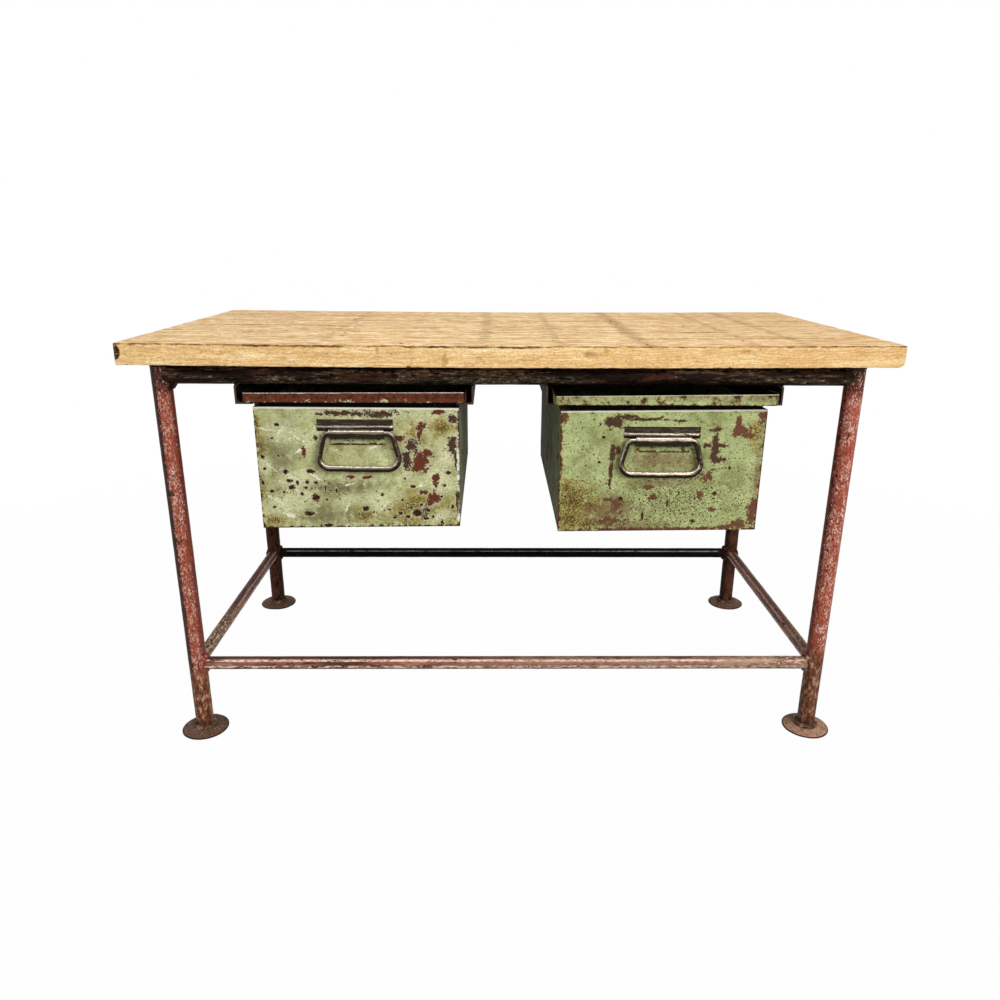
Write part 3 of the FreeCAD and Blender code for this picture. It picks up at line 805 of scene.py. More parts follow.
# pith of each board, front to back: across and up from its middle (mm)
PITHS = ((16, -34), (-30, -88), (22, 95), (-8, -70), (35, -105), (-22, 80))
KNOT_REACH = mm(12)
KNOT_HALF_HEIGHT = mm(15)
KNOT_DEPTH = mm(9)


def sagged(points, sag):
    """Let the top hang a little between the legs."""
    share = np.clip(1 - (points[:, 0] / LEG_X) ** 2, 0, None)
    points[:, 2] -= sag * share
    return points


def board(number, look):
    """One plank: eased edges, a worn top face, and on the front one a hollow knot and a battered arris."""
    name = "plank_%d" % number
    low, high, middle = node_size(name)
    first = number == 1
    pitch = mm(3) if first else mm(5.5)
    radii = [mm(1.2), mm(1.2), mm(1.4), mm(2.2) if first else mm(1.4)]
    outline = rounded_outline(rectangle(low.y, high.y, low.z, high.z), radii, pitch)[0]
    xs = np.concatenate([stations(low.x, low.x + mm(18), mm(2)), stations(low.x + mm(24), high.x, mm(5))])
    points, faces = extrude_x(outline, xs)
    x, y, z = points.T.copy()
    from_top = high.z - z
    from_front = y - low.y
    worn = uneven(points * (0.25, 1.0, 1.0), mm(30), number)
    points[:, 2] += fall(from_top, 0.0, mm(3)) * (worn * mm(0.5) - mm(0.3))
    marks = {"stain": band_stains(points, high.z), "dirt": np.zeros(len(points))}
    marks["dirt"] = 0.75 * fall(from_top, mm(1), mm(5)) * np.maximum(
        fall(from_front, 0.0, mm(5)), ease(y, high.y - mm(5), high.y))
    if first:
        line = points * (1.0, 0.0, 0.0)
        nicks = uneven(line, mm(9), 2.0) + 0.7 * uneven(line, mm(31), 4.0)
        arris = fall(from_top + from_front, 0.0, mm(9))
        bite = arris * (mm(0.6) + look.arris_wear * np.clip(nicks, 0, None))
        points[:, 1] += bite
        points[:, 2] -= bite * 0.6
        in_knot = 1 - ((x - low.x) / KNOT_REACH) ** 2 - ((z - middle.z - mm(3)) / KNOT_HALF_HEIGHT) ** 2
        front_only = fall(from_front, mm(8), mm(14))
        hollow = np.sqrt(np.clip(in_knot, 0, None)) * KNOT_DEPTH * front_only
        points[:, 1] += hollow * ease(x, low.x, low.x + mm(4))
        bottom_nicks = ease(mm(4) - (z - low.z) - from_front, 0.0, mm(4)) * np.clip(nicks, 0, None)
        points[:, 2] += bottom_nicks * mm(1.6)
        end_round = ease(x, high.x - mm(9), high.x) * ease(low.z + mm(9) - z, 0.0, mm(9))
        points[:, 2] += end_round * mm(3.5)
        points[:, 0] -= end_round * mm(2)
        # the left end was sawn a little out of square
        points[:, 0] -= ease(-x, -low.x - mm(60), -low.x) * (high.z - z) / (high.z - low.z) * mm(4)
        marks["planed"] = fall(from_front, 0.0, mm(2))
        marks["dirt"] = np.maximum(marks["dirt"], arris_dirt(points, from_top, from_front, nicks))
        bark = ease(in_knot, -0.12, 0.12) * fall(from_front, mm(9), mm(16))
        marks["bark"] = bark * (x < low.x + 1.6 * KNOT_REACH)
        # the lower front edge turns near black where it is bruised
        low_edge = ease(low.z - z, -mm(6), -mm(1)) * fall(from_front, mm(1), mm(4))
        marks["bark"] = np.maximum(marks["bark"], low_edge * ease(nicks, 0.5, 1.0) * 0.9)
        on_front = fall(from_front, 0.0, mm(2))
        for place, height, reach, half_height, depth in EDGE_SMUDGES:
            far = np.hypot((x - mm(place)) / mm(reach), (z - low.z - mm(height)) / mm(half_height))
            marks["stain"] = np.maximum(marks["stain"], on_front * depth * (1 - ease(far, 0.5, 1.4)))
    pith = np.array([mm(PITHS[number - 1][0]), mm(PITHS[number - 1][1]), 0.0])
    own = np.column_stack([y - middle.y, z - middle.z, x + seed_of(name)]) - pith
    # the boards were cut off a little to the right of the frame's middle
    points[:, 0] = np.interp(points[:, 0], [low.x, high.x], [low.x + mm(5), high.x + mm(1.5)])
    piece(name + "_board", (sagged(points, look.sag), faces), "frame", "oiled_timber", [name],
          marks=marks, own=own, sharp=50.0)


def band_stains(points, top):
    """Grey-brown bands where strips of iron once crossed the boards."""
    x, z = points.T[::2]
    wander = uneven(points * (0.3, 1.0, 0.0), mm(70), 3.0) * mm(6)
    fade = 0.8 + 0.35 * uneven(points * (0.0, 1.0, 0.0), mm(110), 6.0)
    stain = np.zeros(len(points))
    for place, half_width, depth in STAIN_BANDS:
        far = np.abs(x + wander - mm(place))
        stain = np.maximum(stain, depth * fade * (1 - ease(far, mm(half_width) * 0.4, mm(half_width) * 2.2)))
    end_grain = ease(np.abs(x), mm(744), mm(750)) * 0.45
    return np.maximum(stain * ease(z, top - mm(8), top - mm(1)), end_grain)


def arris_dirt(points, from_top, from_front, nicks):
    """Dark broken line that dirt has drawn along the worn front edge."""
    x = points[:, 0]
    line = fall(np.abs(from_top - mm(3.2)), mm(0.6), mm(3.2)) * fall(from_front, mm(1), mm(5))
    heavy = np.maximum(ease(x, mm(-225), mm(-190)) * fall(x, mm(30), mm(70)),
                       ease(x, mm(-540), mm(-500)) * fall(x, -mm(330), -mm(300)) * 0.8)
    return line * np.clip(0.5 + 0.5 * heavy + 0.25 * nicks, 0, 1)


def cleats(look):
    """Two battens under the boards."""
    for side in SIDES:
        name = "top_cleat_" + side
        low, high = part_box(name)
        outline = rounded_outline(rectangle(low.x, high.x, low.z, high.z), [mm(1.5)] * 4, mm(7))[0]
        points, faces = extrude_y(outline, stations(low.y, high.y, mm(8)))
        points[:, 2] += uneven(points, mm(40), 2.0) * mm(0.25)
        piece(name + "_batten", (sagged(points, look.sag), faces), "frame", "cleat_timber", [name], along="Y")


# ---- tube frame ----
# paint knocked off to the scale on the front left leg: height, half height and reach round the tube (mm)
LEG_CHIPS = ((662, 16, 14), (626, 26, 12), (560, 10, 24), (500, 22, 20), (455, 12, 26))


def tube(name, finish_name, slot, marks=None):
    """One tube between its packed ends, coped round the legs unless it is a leg itself."""
    low, high, middle = node_size(name)
    size = high - low
    axis = max(range(3), key=lambda i: size[i])
    radius = min(size) / 2
    across = circle(radius, TUBE_POINTS).T
    others = [i for i in range(3) if i != axis]
    if axis == 2:
        starts = np.full(TUBE_POINTS, low.z)
        finishes = np.full(TUBE_POINTS, high.z)
    else:
        to_leg = (LEG_X, LEG_Y)[axis]
        reach = to_leg - np.sqrt(LEG_RADIUS ** 2 - across[:, 0] ** 2)
        starts, finishes = -reach, reach
    rings = []
    for share in stations(0.0, 1.0, mm(9) / size[axis]):
        ring = np.zeros((TUBE_POINTS, 3))
        ring[:, axis] = starts + (finishes - starts) * share
        ring[:, others] = across + np.array([middle[i] for i in others])
        rings.append(ring)
    points, faces = loft(rings)
    outward = points - np.array(middle)
    outward[:, axis] = 0.0
    lumps = uneven(points, mm(26), seed_of(name)) * 0.7 + uneven(points, mm(9), seed_of(name)) * 0.3
    points += outward / radius * (lumps * bpy.context.scene.bench_frame.lumps)[:, None]
    made = {mark: rule(points) for mark, rule in (marks or {}).items()}
    piece(name + "_tube", (points, faces), "frame", slot, [name], along="XYZ"[axis], marks=made,
          finish_name=finish_name)


def chipped_places(points):
    """Mark of the chips on one side of the front left leg."""
    x, y, z = points.T
    left = LEG_X + x + LEG_RADIUS
    value = np.zeros(len(points))
    for height, half_height, reach in LEG_CHIPS:
        far = np.hypot((z - mm(height)) / mm(half_height), left / mm(reach))
        value = np.maximum(value, np.clip(1 - 0.58 * far, 0, 1) * (y < -LEG_Y + mm(8)))
    return value


def frame_tubes():
    """Legs, rails and stretchers."""
    for side in SIDES:
        marks = {"bare": chipped_places} if side == "left" else None
        tube("leg_front_" + side, "red_oxide_tube", "red_oxide_tube", marks)
        tube("leg_back_" + side, "dull_back_tube", "red_oxide_tube")
    for place in ("front", "back", "left", "right"):
        tube(place + "_rail", "dark_tube", "dark_tube")
    tube("front_stretcher", "brown_tube", "brown_tube", {
        "creamy": lambda points: 0.5 * ease(points[:, 0], -mm(250), mm(50))
        + 0.35 * ease(points[:, 0], mm(380), mm(560)),
        "golden": lambda points: ease(points[:, 0], mm(430), mm(620)) * 0.8})
    tube("left_stretcher", "plain_brown_tube", "brown_tube", {
        "golden": lambda points: fall(points[:, 1], -mm(150), -mm(60)) * (points[:, 0] > -LEG_X - mm(8))})
    tube("right_stretcher", "plain_brown_tube", "brown_tube", {
        "golden": lambda points: fall(points[:, 1], -mm(260), -mm(120)) * 0.5})
    tube("back_stretcher", "black_tube", "black_tube", {
        "scorched": lambda points: ease(np.abs(points[:, 0]), LEG_X - mm(55), LEG_X - mm(25))})


def fixing_bars():
    """Flat bars over the leg tops."""
    for side in SIDES:
        name = "fixing_bar_" + side
        low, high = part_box(name)
        near, far = mm(3), LEG_RADIUS * 0.98
        radii = [far, near, near, far] if side == "left" else [near, far, far, near]
        outline = rounded_outline(rectangle(low.x, high.x, low.y, high.y), radii, mm(6), 8)[0]
        flat = extrude_z(outline, [low.z, low.z + mm(0.5), high.z - mm(0.5), high.z])
        piece(name + "_flat", flat, "frame", "dark_angle", [name], along="Y",
              marks={"edge": np.full(len(flat[0]), 0.3)})


def edge_mark(bends, rings):
    """Worn places of a long piece: its rounded corners and its two cut ends."""
    mark = np.tile(bends, (rings, 1))
    mark[0] = mark[-1] = 1.0
    return mark.ravel()


# ---- dished feet ----
FOOT_THIN_EDGE = mm(2.2)
CONE_STEPS = 9
FOOT_POINTS = 72  # round a disc


def foot(end, side):
    """Disc pressed into a shallow cone, with a thin, slightly wavy edge."""
    name = "foot_%s_%s" % (end, side)
    low, high, middle = node_size(name)
    outer = (high.x - low.x) / 2
    tall = high.z - low.z
    thin = FOOT_THIN_EDGE
    profile = [
        (0.0, tall * 0.5), (outer * 0.42, tall * 0.5), (outer * 0.76, mm(0.4)), (outer * 0.82, 0.0),
        (outer * 0.97, 0.0), (outer, mm(0.6)), (outer, thin * 0.7), (outer * 0.985, thin)]
    for step in range(1, CONE_STEPS + 1):
        share = step / CONE_STEPS
        profile.append((outer * (0.985 - 0.565 * share), thin + (tall - thin) * share ** 0.8))
    profile.append((0.0, tall))
    points, faces = lathe([(max(radius, mm(0.3)), height) for radius, height in profile],
                          (middle.x, middle.y, low.z), FOOT_POINTS)
    x, y = points.T[:2]
    rim = ease(np.hypot(x - middle.x, y - middle.y), outer * 0.6, outer)
    wave = uneven(points * (1.0, 1.0, 0.0), mm(34), seed_of(name))
    points[:, 2] += rim * np.clip(wave, 0, None) * mm(1.6)
    # one disc is rubbed to pale metal, the others keep their brown skin
    rubbed = 1.25 if name == "foot_front_right" else 0.15
    marks = {"edge": ease(rim, 0.85, 1.0), "pale": np.full(len(points), rubbed)}
    piece(name + "_disc", (points, faces), "frame", "rusty_steel", [name], along="Z", marks=marks)


# ---- weld beads ----
JOINT_POINTS = 48  # round a welded joint
SEAM_POINTS = 8  # along a short weld
SEAM_HALF = mm(14)
SEAM_BEAD = mm(2.6)  # radius of the beads that hold the runners
BEAD_UNEVENNESS = 0.22
BEAD_VOXEL = mm(1.1)  # the drops of a bead melt together at this grain
BEAD_SEED = 7
RAIL_RADIUS = mm(18)  # of the curve that a runner's seam follows under the rail
LOW_BEADS = mm(40)  # beads under this height belong to the feet
HIGH_BEADS = mm(400)  # and over this one to the rails and runners


def saddle_loop(end_point, radius, along, towards):
    """Joint line of a horizontal tube on a leg: points round the tube's end."""
    sideways, upward = circle(radius, JOINT_POINTS)
    depth = np.sqrt(LEG_RADIUS ** 2 - sideways ** 2)
    points = np.zeros((JOINT_POINTS, 3))
    points[:, along] = end_point[along] - towards * depth
    points[:, 1 - along] = end_point[1 - along] + sideways
    points[:, 2] = end_point[2] + upward
    return points


def seam(x, ys, z):
    """Points of a short weld; x and z may be one number or one for each point."""
    return np.column_stack(np.broadcast_arrays(x, ys, z))


def weld_lines(look):
    """Every joint line of the frame with the size of its bead: (points, bead radius, closed)."""
    lines = []
    # the rails are as wide as the legs, so their beads were dressed back almost flush
    for kind, bead, proud in (("rail", look.rail_bead, -mm(0.3)),
                              ("stretcher", look.stretcher_bead, look.stretcher_bead * 0.25)):
        low, high, middle = node_size("front_" + kind)
        radius = (high.z - low.z) / 2
        for side, end in CORNERS:
            corner = (side * LEG_X, end * LEG_Y, middle.z)
            for along, towards in ((0, side), (1, end)):
                lines.append((saddle_loop(corner, radius + proud, along, towards), bead, True))
    disc_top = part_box("foot_front_left")[1].z + mm(1)
    x, y = circle(LEG_RADIUS + mm(1), JOINT_POINTS)
    for side, end in CORNERS:
        lines.append((seam(side * LEG_X + x, end * LEG_Y + y, disc_top), look.stretcher_bead, True))
    # three runs laid over one another fill the front left corner under the rail
    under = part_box("front_rail")[0].z + mm(1)
    ys = np.linspace(-LEG_Y - mm(12), -LEG_Y + mm(12), SEAM_POINTS)
    for layer in range(3):
        gap = LEG_RADIUS + mm(3) * layer - mm(2)
        drop = mm(9) - mm(4.5) * layer
        lines.append((seam(-LEG_X + gap, ys, under - drop), look.corner_fillet, False))
    for side in SIDES:
        for place in ("outer", "inner"):
            low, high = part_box("%s_runner_%s" % (side, place))
            face = low.x if (side == "left") == (place == "outer") else high.x
            for end in ENDS.values():
                ys = np.linspace(end * LEG_Y - SEAM_HALF, end * LEG_Y + SEAM_HALF, SEAM_POINTS)
                lift = np.sqrt(RAIL_RADIUS ** 2 - (ys - end * LEG_Y) ** 2)
                lines.append((seam(face, ys, high.z + RAIL_RADIUS - lift), SEAM_BEAD, False))
    return lines


def open_group(name, inputs):
    """Geometry node group with a geometry input and named inputs (name, socket type, default)."""
    group = bpy.data.node_groups.new(name, "GeometryNodeTree")
    group.interface.new_socket("Geometry", in_out="INPUT", socket_type="NodeSocketGeometry")
    for label, kind, default in inputs:
        socket = group.interface.new_socket(label, in_out="INPUT", socket_type=kind)
        if default is not None:
            socket.default_value = default
    group.interface.new_socket("Geometry", in_out="OUTPUT", socket_type="NodeSocketGeometry")
    start = add(group, "NodeGroupInput").node
    return group, {socket.name: socket for socket in start.outputs}


def grown(name, mesh, group, values, voxel=0.0):
    """Plain object from a mesh that a node group has worked on, melted together where a voxel is given."""
    carrier = placed(name + "_lines", mesh)
    modifier = carrier.modifiers.new(group.name, "NODES")
    modifier.node_group = group
    sockets = {item.name: item.identifier for item in group.interface.items_tree if item.in_out == "INPUT"}
    for label, value in values.items():
        modifier[sockets[label]] = value
    if voxel:
        melted = carrier.modifiers.new("melted", "REMESH")
        melted.voxel_size = voxel
        melted.use_smooth_shade = True
    bpy.context.view_layer.update()
    evaluated = carrier.evaluated_get(bpy.context.evaluated_depsgraph_get())
    plain = bpy.data.meshes.new_from_object(evaluated)
    bpy.data.objects.remove(carrier)
    plain.shade_smooth()
    store(plain, "own_place", own_place(np.array([vertex.co for vertex in plain.vertices]), "Z", name))
    return placed(name, plain)


def around_one(group, given, label):
    """Random number at each point, at most a named input's value away from 1."""
    least, most = (add(group, "Math", (1.0, given[label]), operation=sign) for sign in ("SUBTRACT", "ADD"))
    return add(group, "FunctionNodeRandomValue", {2: least, 3: most, "Seed": given["Seed"]}, output=1,
               data_type="FLOAT")


def close_group(group, given, instances):
    """End a group in plain mesh of the given material."""
    real = add(group, "GeometryNodeRealizeInstances", (instances,))
    painted = add(group, "GeometryNodeSetMaterial", {"Geometry": real, "Material": given["Material"]})
    add(group, "NodeGroupOutput", (painted,))
    return group


def bead_group():
    """Overlapping flattened drops of weld metal along every line."""
    group, given = open_group("weld_bead", [
        ("Ripple Pitch", "NodeSocketFloat", mm(3)), ("Unevenness", "NodeSocketFloat", 0.2),
        ("Seed", "NodeSocketInt", BEAD_SEED), ("Material", "NodeSocketMaterial", None)])
    curve = add(group, "GeometryNodeMeshToCurve", (given["Geometry"],))
    even = add(group, "GeometryNodeResampleCurve", {"Curve": curve, "Length": given["Ripple Pitch"]},
               mode="LENGTH")
    drop = add(group, "GeometryNodeMeshIcoSphere", {"Radius": 1.0, "Subdivisions": 2})
    tangent = add(group, "GeometryNodeInputTangent")
    turn = add(group, "FunctionNodeAlignRotationToVector", {"Vector": tangent}, axis="Z")
    bead = add(group, "GeometryNodeInputNamedAttribute", {"Name": "bead"}, data_type="FLOAT")
    swell = add(group, "Math", (bead, around_one(group, given, "Unevenness")), operation="MULTIPLY")
    flat = add(group, "Math", (swell, 0.7), operation="MULTIPLY")
    scale = add(group, "CombineXYZ", (swell, swell, flat))
    drops = add(group, "GeometryNodeInstanceOnPoints", {
        "Points": even, "Instance": drop, "Rotation": turn, "Scale": scale})
    return close_group(group, given, drops)


def lines_mesh(name, lines):
    """Edges along every line, with the size of its bead at each point."""
    points, edges, beads = [], [], []
    for line, bead, closed in lines:
        start = len(points)
        points += line.tolist()
        beads += [bead] * len(line)
        edges += [(start + k, start + k + 1) for k in range(len(line) - 1)]
        if closed:
            edges.append((start + len(line) - 1, start))
    mesh = bpy.data.meshes.new(name + "_lines")
    mesh.from_pydata(points, edges, [])
    store(mesh, "bead", beads)
    return mesh


def weld_beads(look):
    """All beads of the frame: the low ones red-brown, the high ones dark."""
    group = bead_group()
    lines = weld_lines(look)
    # between these heights, and where an end is named, on that side of the middle
    for name, finish_name, slot, low, high, end in (
            ("foot_weld_beads", "rusty_steel", "rusty_steel", 0.0, LOW_BEADS, 0),
            ("front_weld_beads", "red_oxide_tube", "red_oxide_tube", LOW_BEADS, HIGH_BEADS, ENDS["front"]),
            ("back_weld_beads", "dull_back_tube", "red_oxide_tube", LOW_BEADS, HIGH_BEADS, ENDS["back"]),
            ("high_weld_beads", "dark_tube", "dark_tube", HIGH_BEADS, 1.0, 0)):
        starts = [(line, *line[0][0, 1:]) for line in lines]
        mesh = lines_mesh(name, [line for line, y, z in starts if low < z < high and y * end >= 0])
        values = {"Ripple Pitch": look.ripple_pitch, "Unevenness": BEAD_UNEVENNESS, "Seed": BEAD_SEED,
                  "Material": finish(finish_name)}
        thing = grown(name, mesh, group, values, BEAD_VOXEL)
        settle(thing, "frame", slot, finish_name=finish_name)


# ---- screws and nails ----
SCREW_HEAD_RADIUS = mm(5.5)
SCREW_HEAD_HEIGHT = mm(3.4)
SLOT_HALF_WIDTH = mm(0.7)
SLOT_DEPTH = mm(1.4)
HALF_HEAD_POINTS = 13  # round half a head
HEAD_POINTS = 24  # round the floor of its slot
NAIL_POINTS = 14
SCREW_INSET = mm(25)  # least distance of a screw from a batten's end
NAIL_INSET = mm(28)  # from a board's edges
SCATTER_SEED = 3
NAIL_SEED = 11


def slotted_head():
    """Pan head that points down, with a slot cut across it."""
    r, h = SCREW_HEAD_RADIUS, SCREW_HEAD_HEIGHT
    dome = ((r * 0.98, 0.0), (r, -h * 0.3), (r * 0.95, -h * 0.7), (r * 0.78, -h * 0.95), (r * 0.5, -h))
    angles = np.linspace(-math.pi / 2, math.pi / 2, HALF_HEAD_POINTS)
    solids = []
    for side in SIDES.values():
        rings = []
        for radius, height in dome:
            xs = np.maximum(radius * np.cos(angles), SLOT_HALF_WIDTH) * side
            rings.append(np.column_stack([xs, radius * np.sin(angles), np.full(HALF_HEAD_POINTS, height)]))
        solids.append(loft(rings))
    slot_floor = SLOT_DEPTH - h
    solids.append(lathe([(mm(0.2), 0.0), (r * 0.9, 0.0), (r * 0.9, slot_floor), (mm(0.2), slot_floor)],
                        (0, 0, 0), HEAD_POINTS))
    return placed("slotted_head", solid_mesh("slotted_head", joined(solids)))


def scatter_group(name):
    """Copies of one small object at every point, each turned at random about Z."""
    group, given = open_group(name, [
        ("Object", "NodeSocketObject", None), ("Size Spread", "NodeSocketFloat", 0.0),
        ("Seed", "NodeSocketInt", SCATTER_SEED), ("Material", "NodeSocketMaterial", None)])
    template = add(group, "GeometryNodeObjectInfo", {"Object": given["Object"]}, output="Geometry")
    turn = add(group, "FunctionNodeRandomValue", {
        0: (0.0, 0.0, 0.0), 1: (0.0, 0.0, 2 * math.pi), "Seed": given["Seed"]}, data_type="FLOAT_VECTOR")
    copies = add(group, "GeometryNodeInstanceOnPoints", {
        "Points": given["Geometry"], "Instance": template, "Rotation": turn,
        "Scale": around_one(group, given, "Size Spread")})
    return close_group(group, given, copies)


def scattered(name, places, template, spread, slot, nodes=()):
    """One piece made of copies of a template at each place; the template itself goes."""
    mesh = bpy.data.meshes.new(name + "_places")
    mesh.from_pydata([tuple(place) for place in places], [], [])
    thing = grown(name, mesh, scatter_group(name), {
        "Object": template, "Size Spread": spread, "Seed": SCATTER_SEED, "Material": finish(slot)})
    bpy.data.objects.remove(template)
    smooth(thing.data, 40)
    return settle(thing, "frame", slot, nodes)


def screw_heads(look):
    """Heads of the screws that hold the top, seen from below."""
    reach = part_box("top_cleat_left")[1].y - SCREW_INSET
    cleat_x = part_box("top_cleat_right")[0].x + mm(30)
    for name, carrier, seats_x, sag in (("top_screws", "fixing_bar_left", LEG_X - mm(37), 0.0),
                                        ("cleat_screws", "top_cleat_left", cleat_x, look.sag)):
        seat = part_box(carrier)[0].z
        places = []
        for number in BOARDS:
            y = max(-reach, min(reach, node_size("plank_%d" % number)[2].y))
            places += [(side * seats_x, y, seat) for side in SIDES.values()]
        scattered(name[:-1] + "_heads", sagged(np.array(places), sag), slotted_head(), 0.0,
                  "screw_steel", [name])


def nail_heads(look):
    """Old nails that stayed in the boards along the stained bands."""
    chance = np.random.default_rng(NAIL_SEED)
    places = []
    for number in BOARDS:
        low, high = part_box("plank_%d" % number)
        for place, half_width, depth in STAIN_BANDS:
            for y in (low.y + NAIL_INSET, high.y - NAIL_INSET):
                shift = chance.normal(0.0, mm(5), 2)
                if chance.random() < 0.04 + 0.22 * depth:
                    places.append((mm(place) + shift[0], y + shift[1], high.z - mm(0.1)))
    dome = lathe([(mm(0.1), -mm(1.5)), (mm(2.6), -mm(1.5)), (mm(2.6), -mm(0.2)), (mm(1.9), mm(0.3)),
                  (mm(0.1), mm(0.45))], (0, 0, 0), NAIL_POINTS)
    template = placed("nail_head", solid_mesh("nail_head", dome))
    scattered("nail_heads", sagged(np.array(places), look.sag), template, 0.3, "rusty_steel")


# ---- runners ----
ANGLE_GAUGE = mm(3.5)
STOP_WIDTH = mm(24)


def runners():
    """Rolled angles under the rails, with rounded toes and a soft inside corner, and their stops."""
    for side in SIDES:
        for place in ("outer", "inner"):
            name = "%s_runner_%s" % (side, place)
            low, high, middle = node_size(name)
            upright_left = (side == "left") == (place == "outer")
            heel, inward = (low.x, 1) if upright_left else (high.x, -1)
            toe = high.x if upright_left else low.x
            web = heel + inward * ANGLE_GAUGE
            seat = low.z + ANGLE_GAUGE
            corners = [(heel, low.z), (toe, low.z), (toe, seat), (web, seat), (web, high.z), (heel, high.z)]
            radii = [mm(0.8), mm(0.4), mm(1.6), mm(2.6), mm(1.6), mm(0.4)]
            outline, bends = rounded_outline(corners, radii, mm(4))
            ys = stations(low.y, high.y, mm(7))
            points, faces = extrude_y(outline, ys)
            waves = np.clip(uneven(points, mm(60), 1.0), 0, None) * mm(0.2)
            points[:, 2] -= waves * (points[:, 2] < middle.z)
            piece(name + "_angle", (points, faces), "frame", "dark_angle", [name], along="Y",
                  marks={"edge": edge_mark(bends, len(ys))})
        stops(side)


def stops(side):
    """Two small blocks welded in a pair of runners."""
    name = side + "_drawer_stops"
    low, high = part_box(name)
    ys = stations(low.y, high.y, mm(1.5))
    solids = []
    marks = []
    for left, right in ((low.x, low.x + STOP_WIDTH), (high.x - STOP_WIDTH, high.x)):
        outline, bends = rounded_outline(rectangle(left, right, low.z, high.z), [mm(1.2)] * 4, mm(3))
        solids.append(extrude_y(outline, ys))
        marks.append(edge_mark(bends, len(ys)))
    piece(side + "_drawer_stop_blocks", joined(solids), "frame", "dark_angle", [name],
          marks={"edge": np.concatenate(marks)})


# ---- drawers ----
SHOULDER = mm(8.5)
INNER_FLANGE = mm(14)
END_RADII = (0.5, 2.6, 0.6, 0.6, 1.1, 0.8, 0.5, 0.5, 0.3, 0.5)  # of the bends of an end sheet (mm)
SHELL_RADII = (2.6, 2.4, 0.5, 0.5, 1, 1.1)  # of the bends of one side of a shell (mm)
GRID = mm(2.3)  # pitch of the points that carry the marks of a drawer front

# wear on each drawer front: across from the middle, up from the floor, half sizes (mm)
LEFT_WEAR = {
    "primer": ((129, 213, 8, 10), (122, 191, 4, 12), (126, 143, 15, 18), (137, 158, 8, 8), (116, 125, 15, 5),
        (154, 104, 6, 10), (129, 75, 8, 4), (151, 64, 11, 10), (143, 51, 6, 5), (82, 189, 9, 5),
        (162, 243, 13, 4), (-15, 108, 7, 3), (14, 107, 9, 3), (-108, 161, 4, 9)),
    "bare": ((-30, 239, 36, 4.5), (47, 238, 34, 6), (190, 230, 8, 8), (190, 178, 9, 15), (198, 148, 4, 22),
        (108, 173, 11, 11), (98, 143, 7, 17), (129, 29, 8, 10), (-84, 190, 3, 5), (199, 57, 3, 24)),
    "chip": ((-159, 216, 4, 3), (-170, 188, 2.5, 2), (-160, 152, 2, 2.5), (-138, 86, 5.5, 4),
        (-179, 78, 3.5, 3), (-154, 76, 2.5, 3), (-106, 97, 3, 4), (-110, 85, 4, 2.5), (-106, 30, 9, 4),
        (10, 40, 6, 5), (26, 32, 2, 2.5), (-68, 60, 2.5, 2.5), (45, 70, 3, 3), (92, 104, 2, 2),
        (-190, 125, 3, 2.5), (-48, 79, 2, 5), (-70, 85, 2, 5), (-148, 119, 5, 4), (-98, 120, 7, 4),
        (108, 88, 5, 3), (116, 31, 9, 7), (81, 30, 4, 3.5), (-68, 5, 9, 3), (166, 9, 3, 5), (181, 117, 5, 3),
        (-91, 64, 7, 6.5), (104, 42, 3, 2.5), (124, 48, 3.5, 3), (138, 36, 4, 3), (96, 22, 5, 3.5),
        (148, 22, 3, 3), (133, 18, 5, 3), (70, 20, 4, 2.5), (58, 38, 3, 2), (86, 58, 2.5, 2.5),
        (-142, 100, 6, 3), (-126, 96, 3, 4), (-88, 96, 4, 3), (-118, 72, 3, 4), (-176, 44, 3, 2.5),
        (166, 66, 3, 2.5), (172, 90, 2.5, 3), (188, 44, 3, 4), (-196, 96, 3, 5), (-192, 150, 3, 4)),
    "scrape": ((-136, 108, 20, 2.6, -32), (-93, 112, 16, 3, -38), (-171, 60, 16, 3, -25),
        (-160, 50, 10, 2.6, -50), (-146, 27, 13, 3.4, -20), (-152, 204, 12, 2.2, 40),
        (-116, 164, 11, 2.4, 35), (50, 48, 14, 2.2, 48), (-27, 45, 11, 1.8, 70), (178, 151, 16, 2.4, 28),
        (-139, 84, 16, 2, -15), (122, 89, 12, 2.2, 8), (161, 22, 7, 4, 30), (151, 94, 8, 2.4, 60),
        (-183, 206, 14, 1.8, -12), (-120, 190, 16, 1.6, -35), (-60, 125, 12, 1.6, -30),
        (30, 170, 10, 1.4, 20), (-178, 130, 14, 1.8, -40), (-20, 92, 14, 1.4, 12)),
    "ochre": ((-194, 167, 14, 40), (-198, 100, 11, 50), (-178, 18, 27, 16), (115, 41, 55, 34),
        (186, 27, 24, 27), (8, 24, 20, 17), (-197, 212, 8, 20), (171, 211, 26, 20), (117, 184, 22, 32)),
    "shade": ((-161, 151, 34, 57), (-67, 27, 68, 20), (-38, 85, 74, 16), (-147, 206, 28, 19)),
    "bleached": ((-132, 104, 34, 16), (-160, 48, 34, 20), (-110, 70, 22, 12), (160, 104, 26, 30),
        (176, 152, 16, 30), (45, 62, 30, 16), (-150, 200, 30, 24), (-20, 60, 24, 12), (-190, 130, 14, 20),
        (170, 26, 22, 12)),
    "pitted": ((115, 31, 42, 22), (-70, 82, 44, 19), (-167, 78, 28, 10), (85, 15, 60, 13)),
}
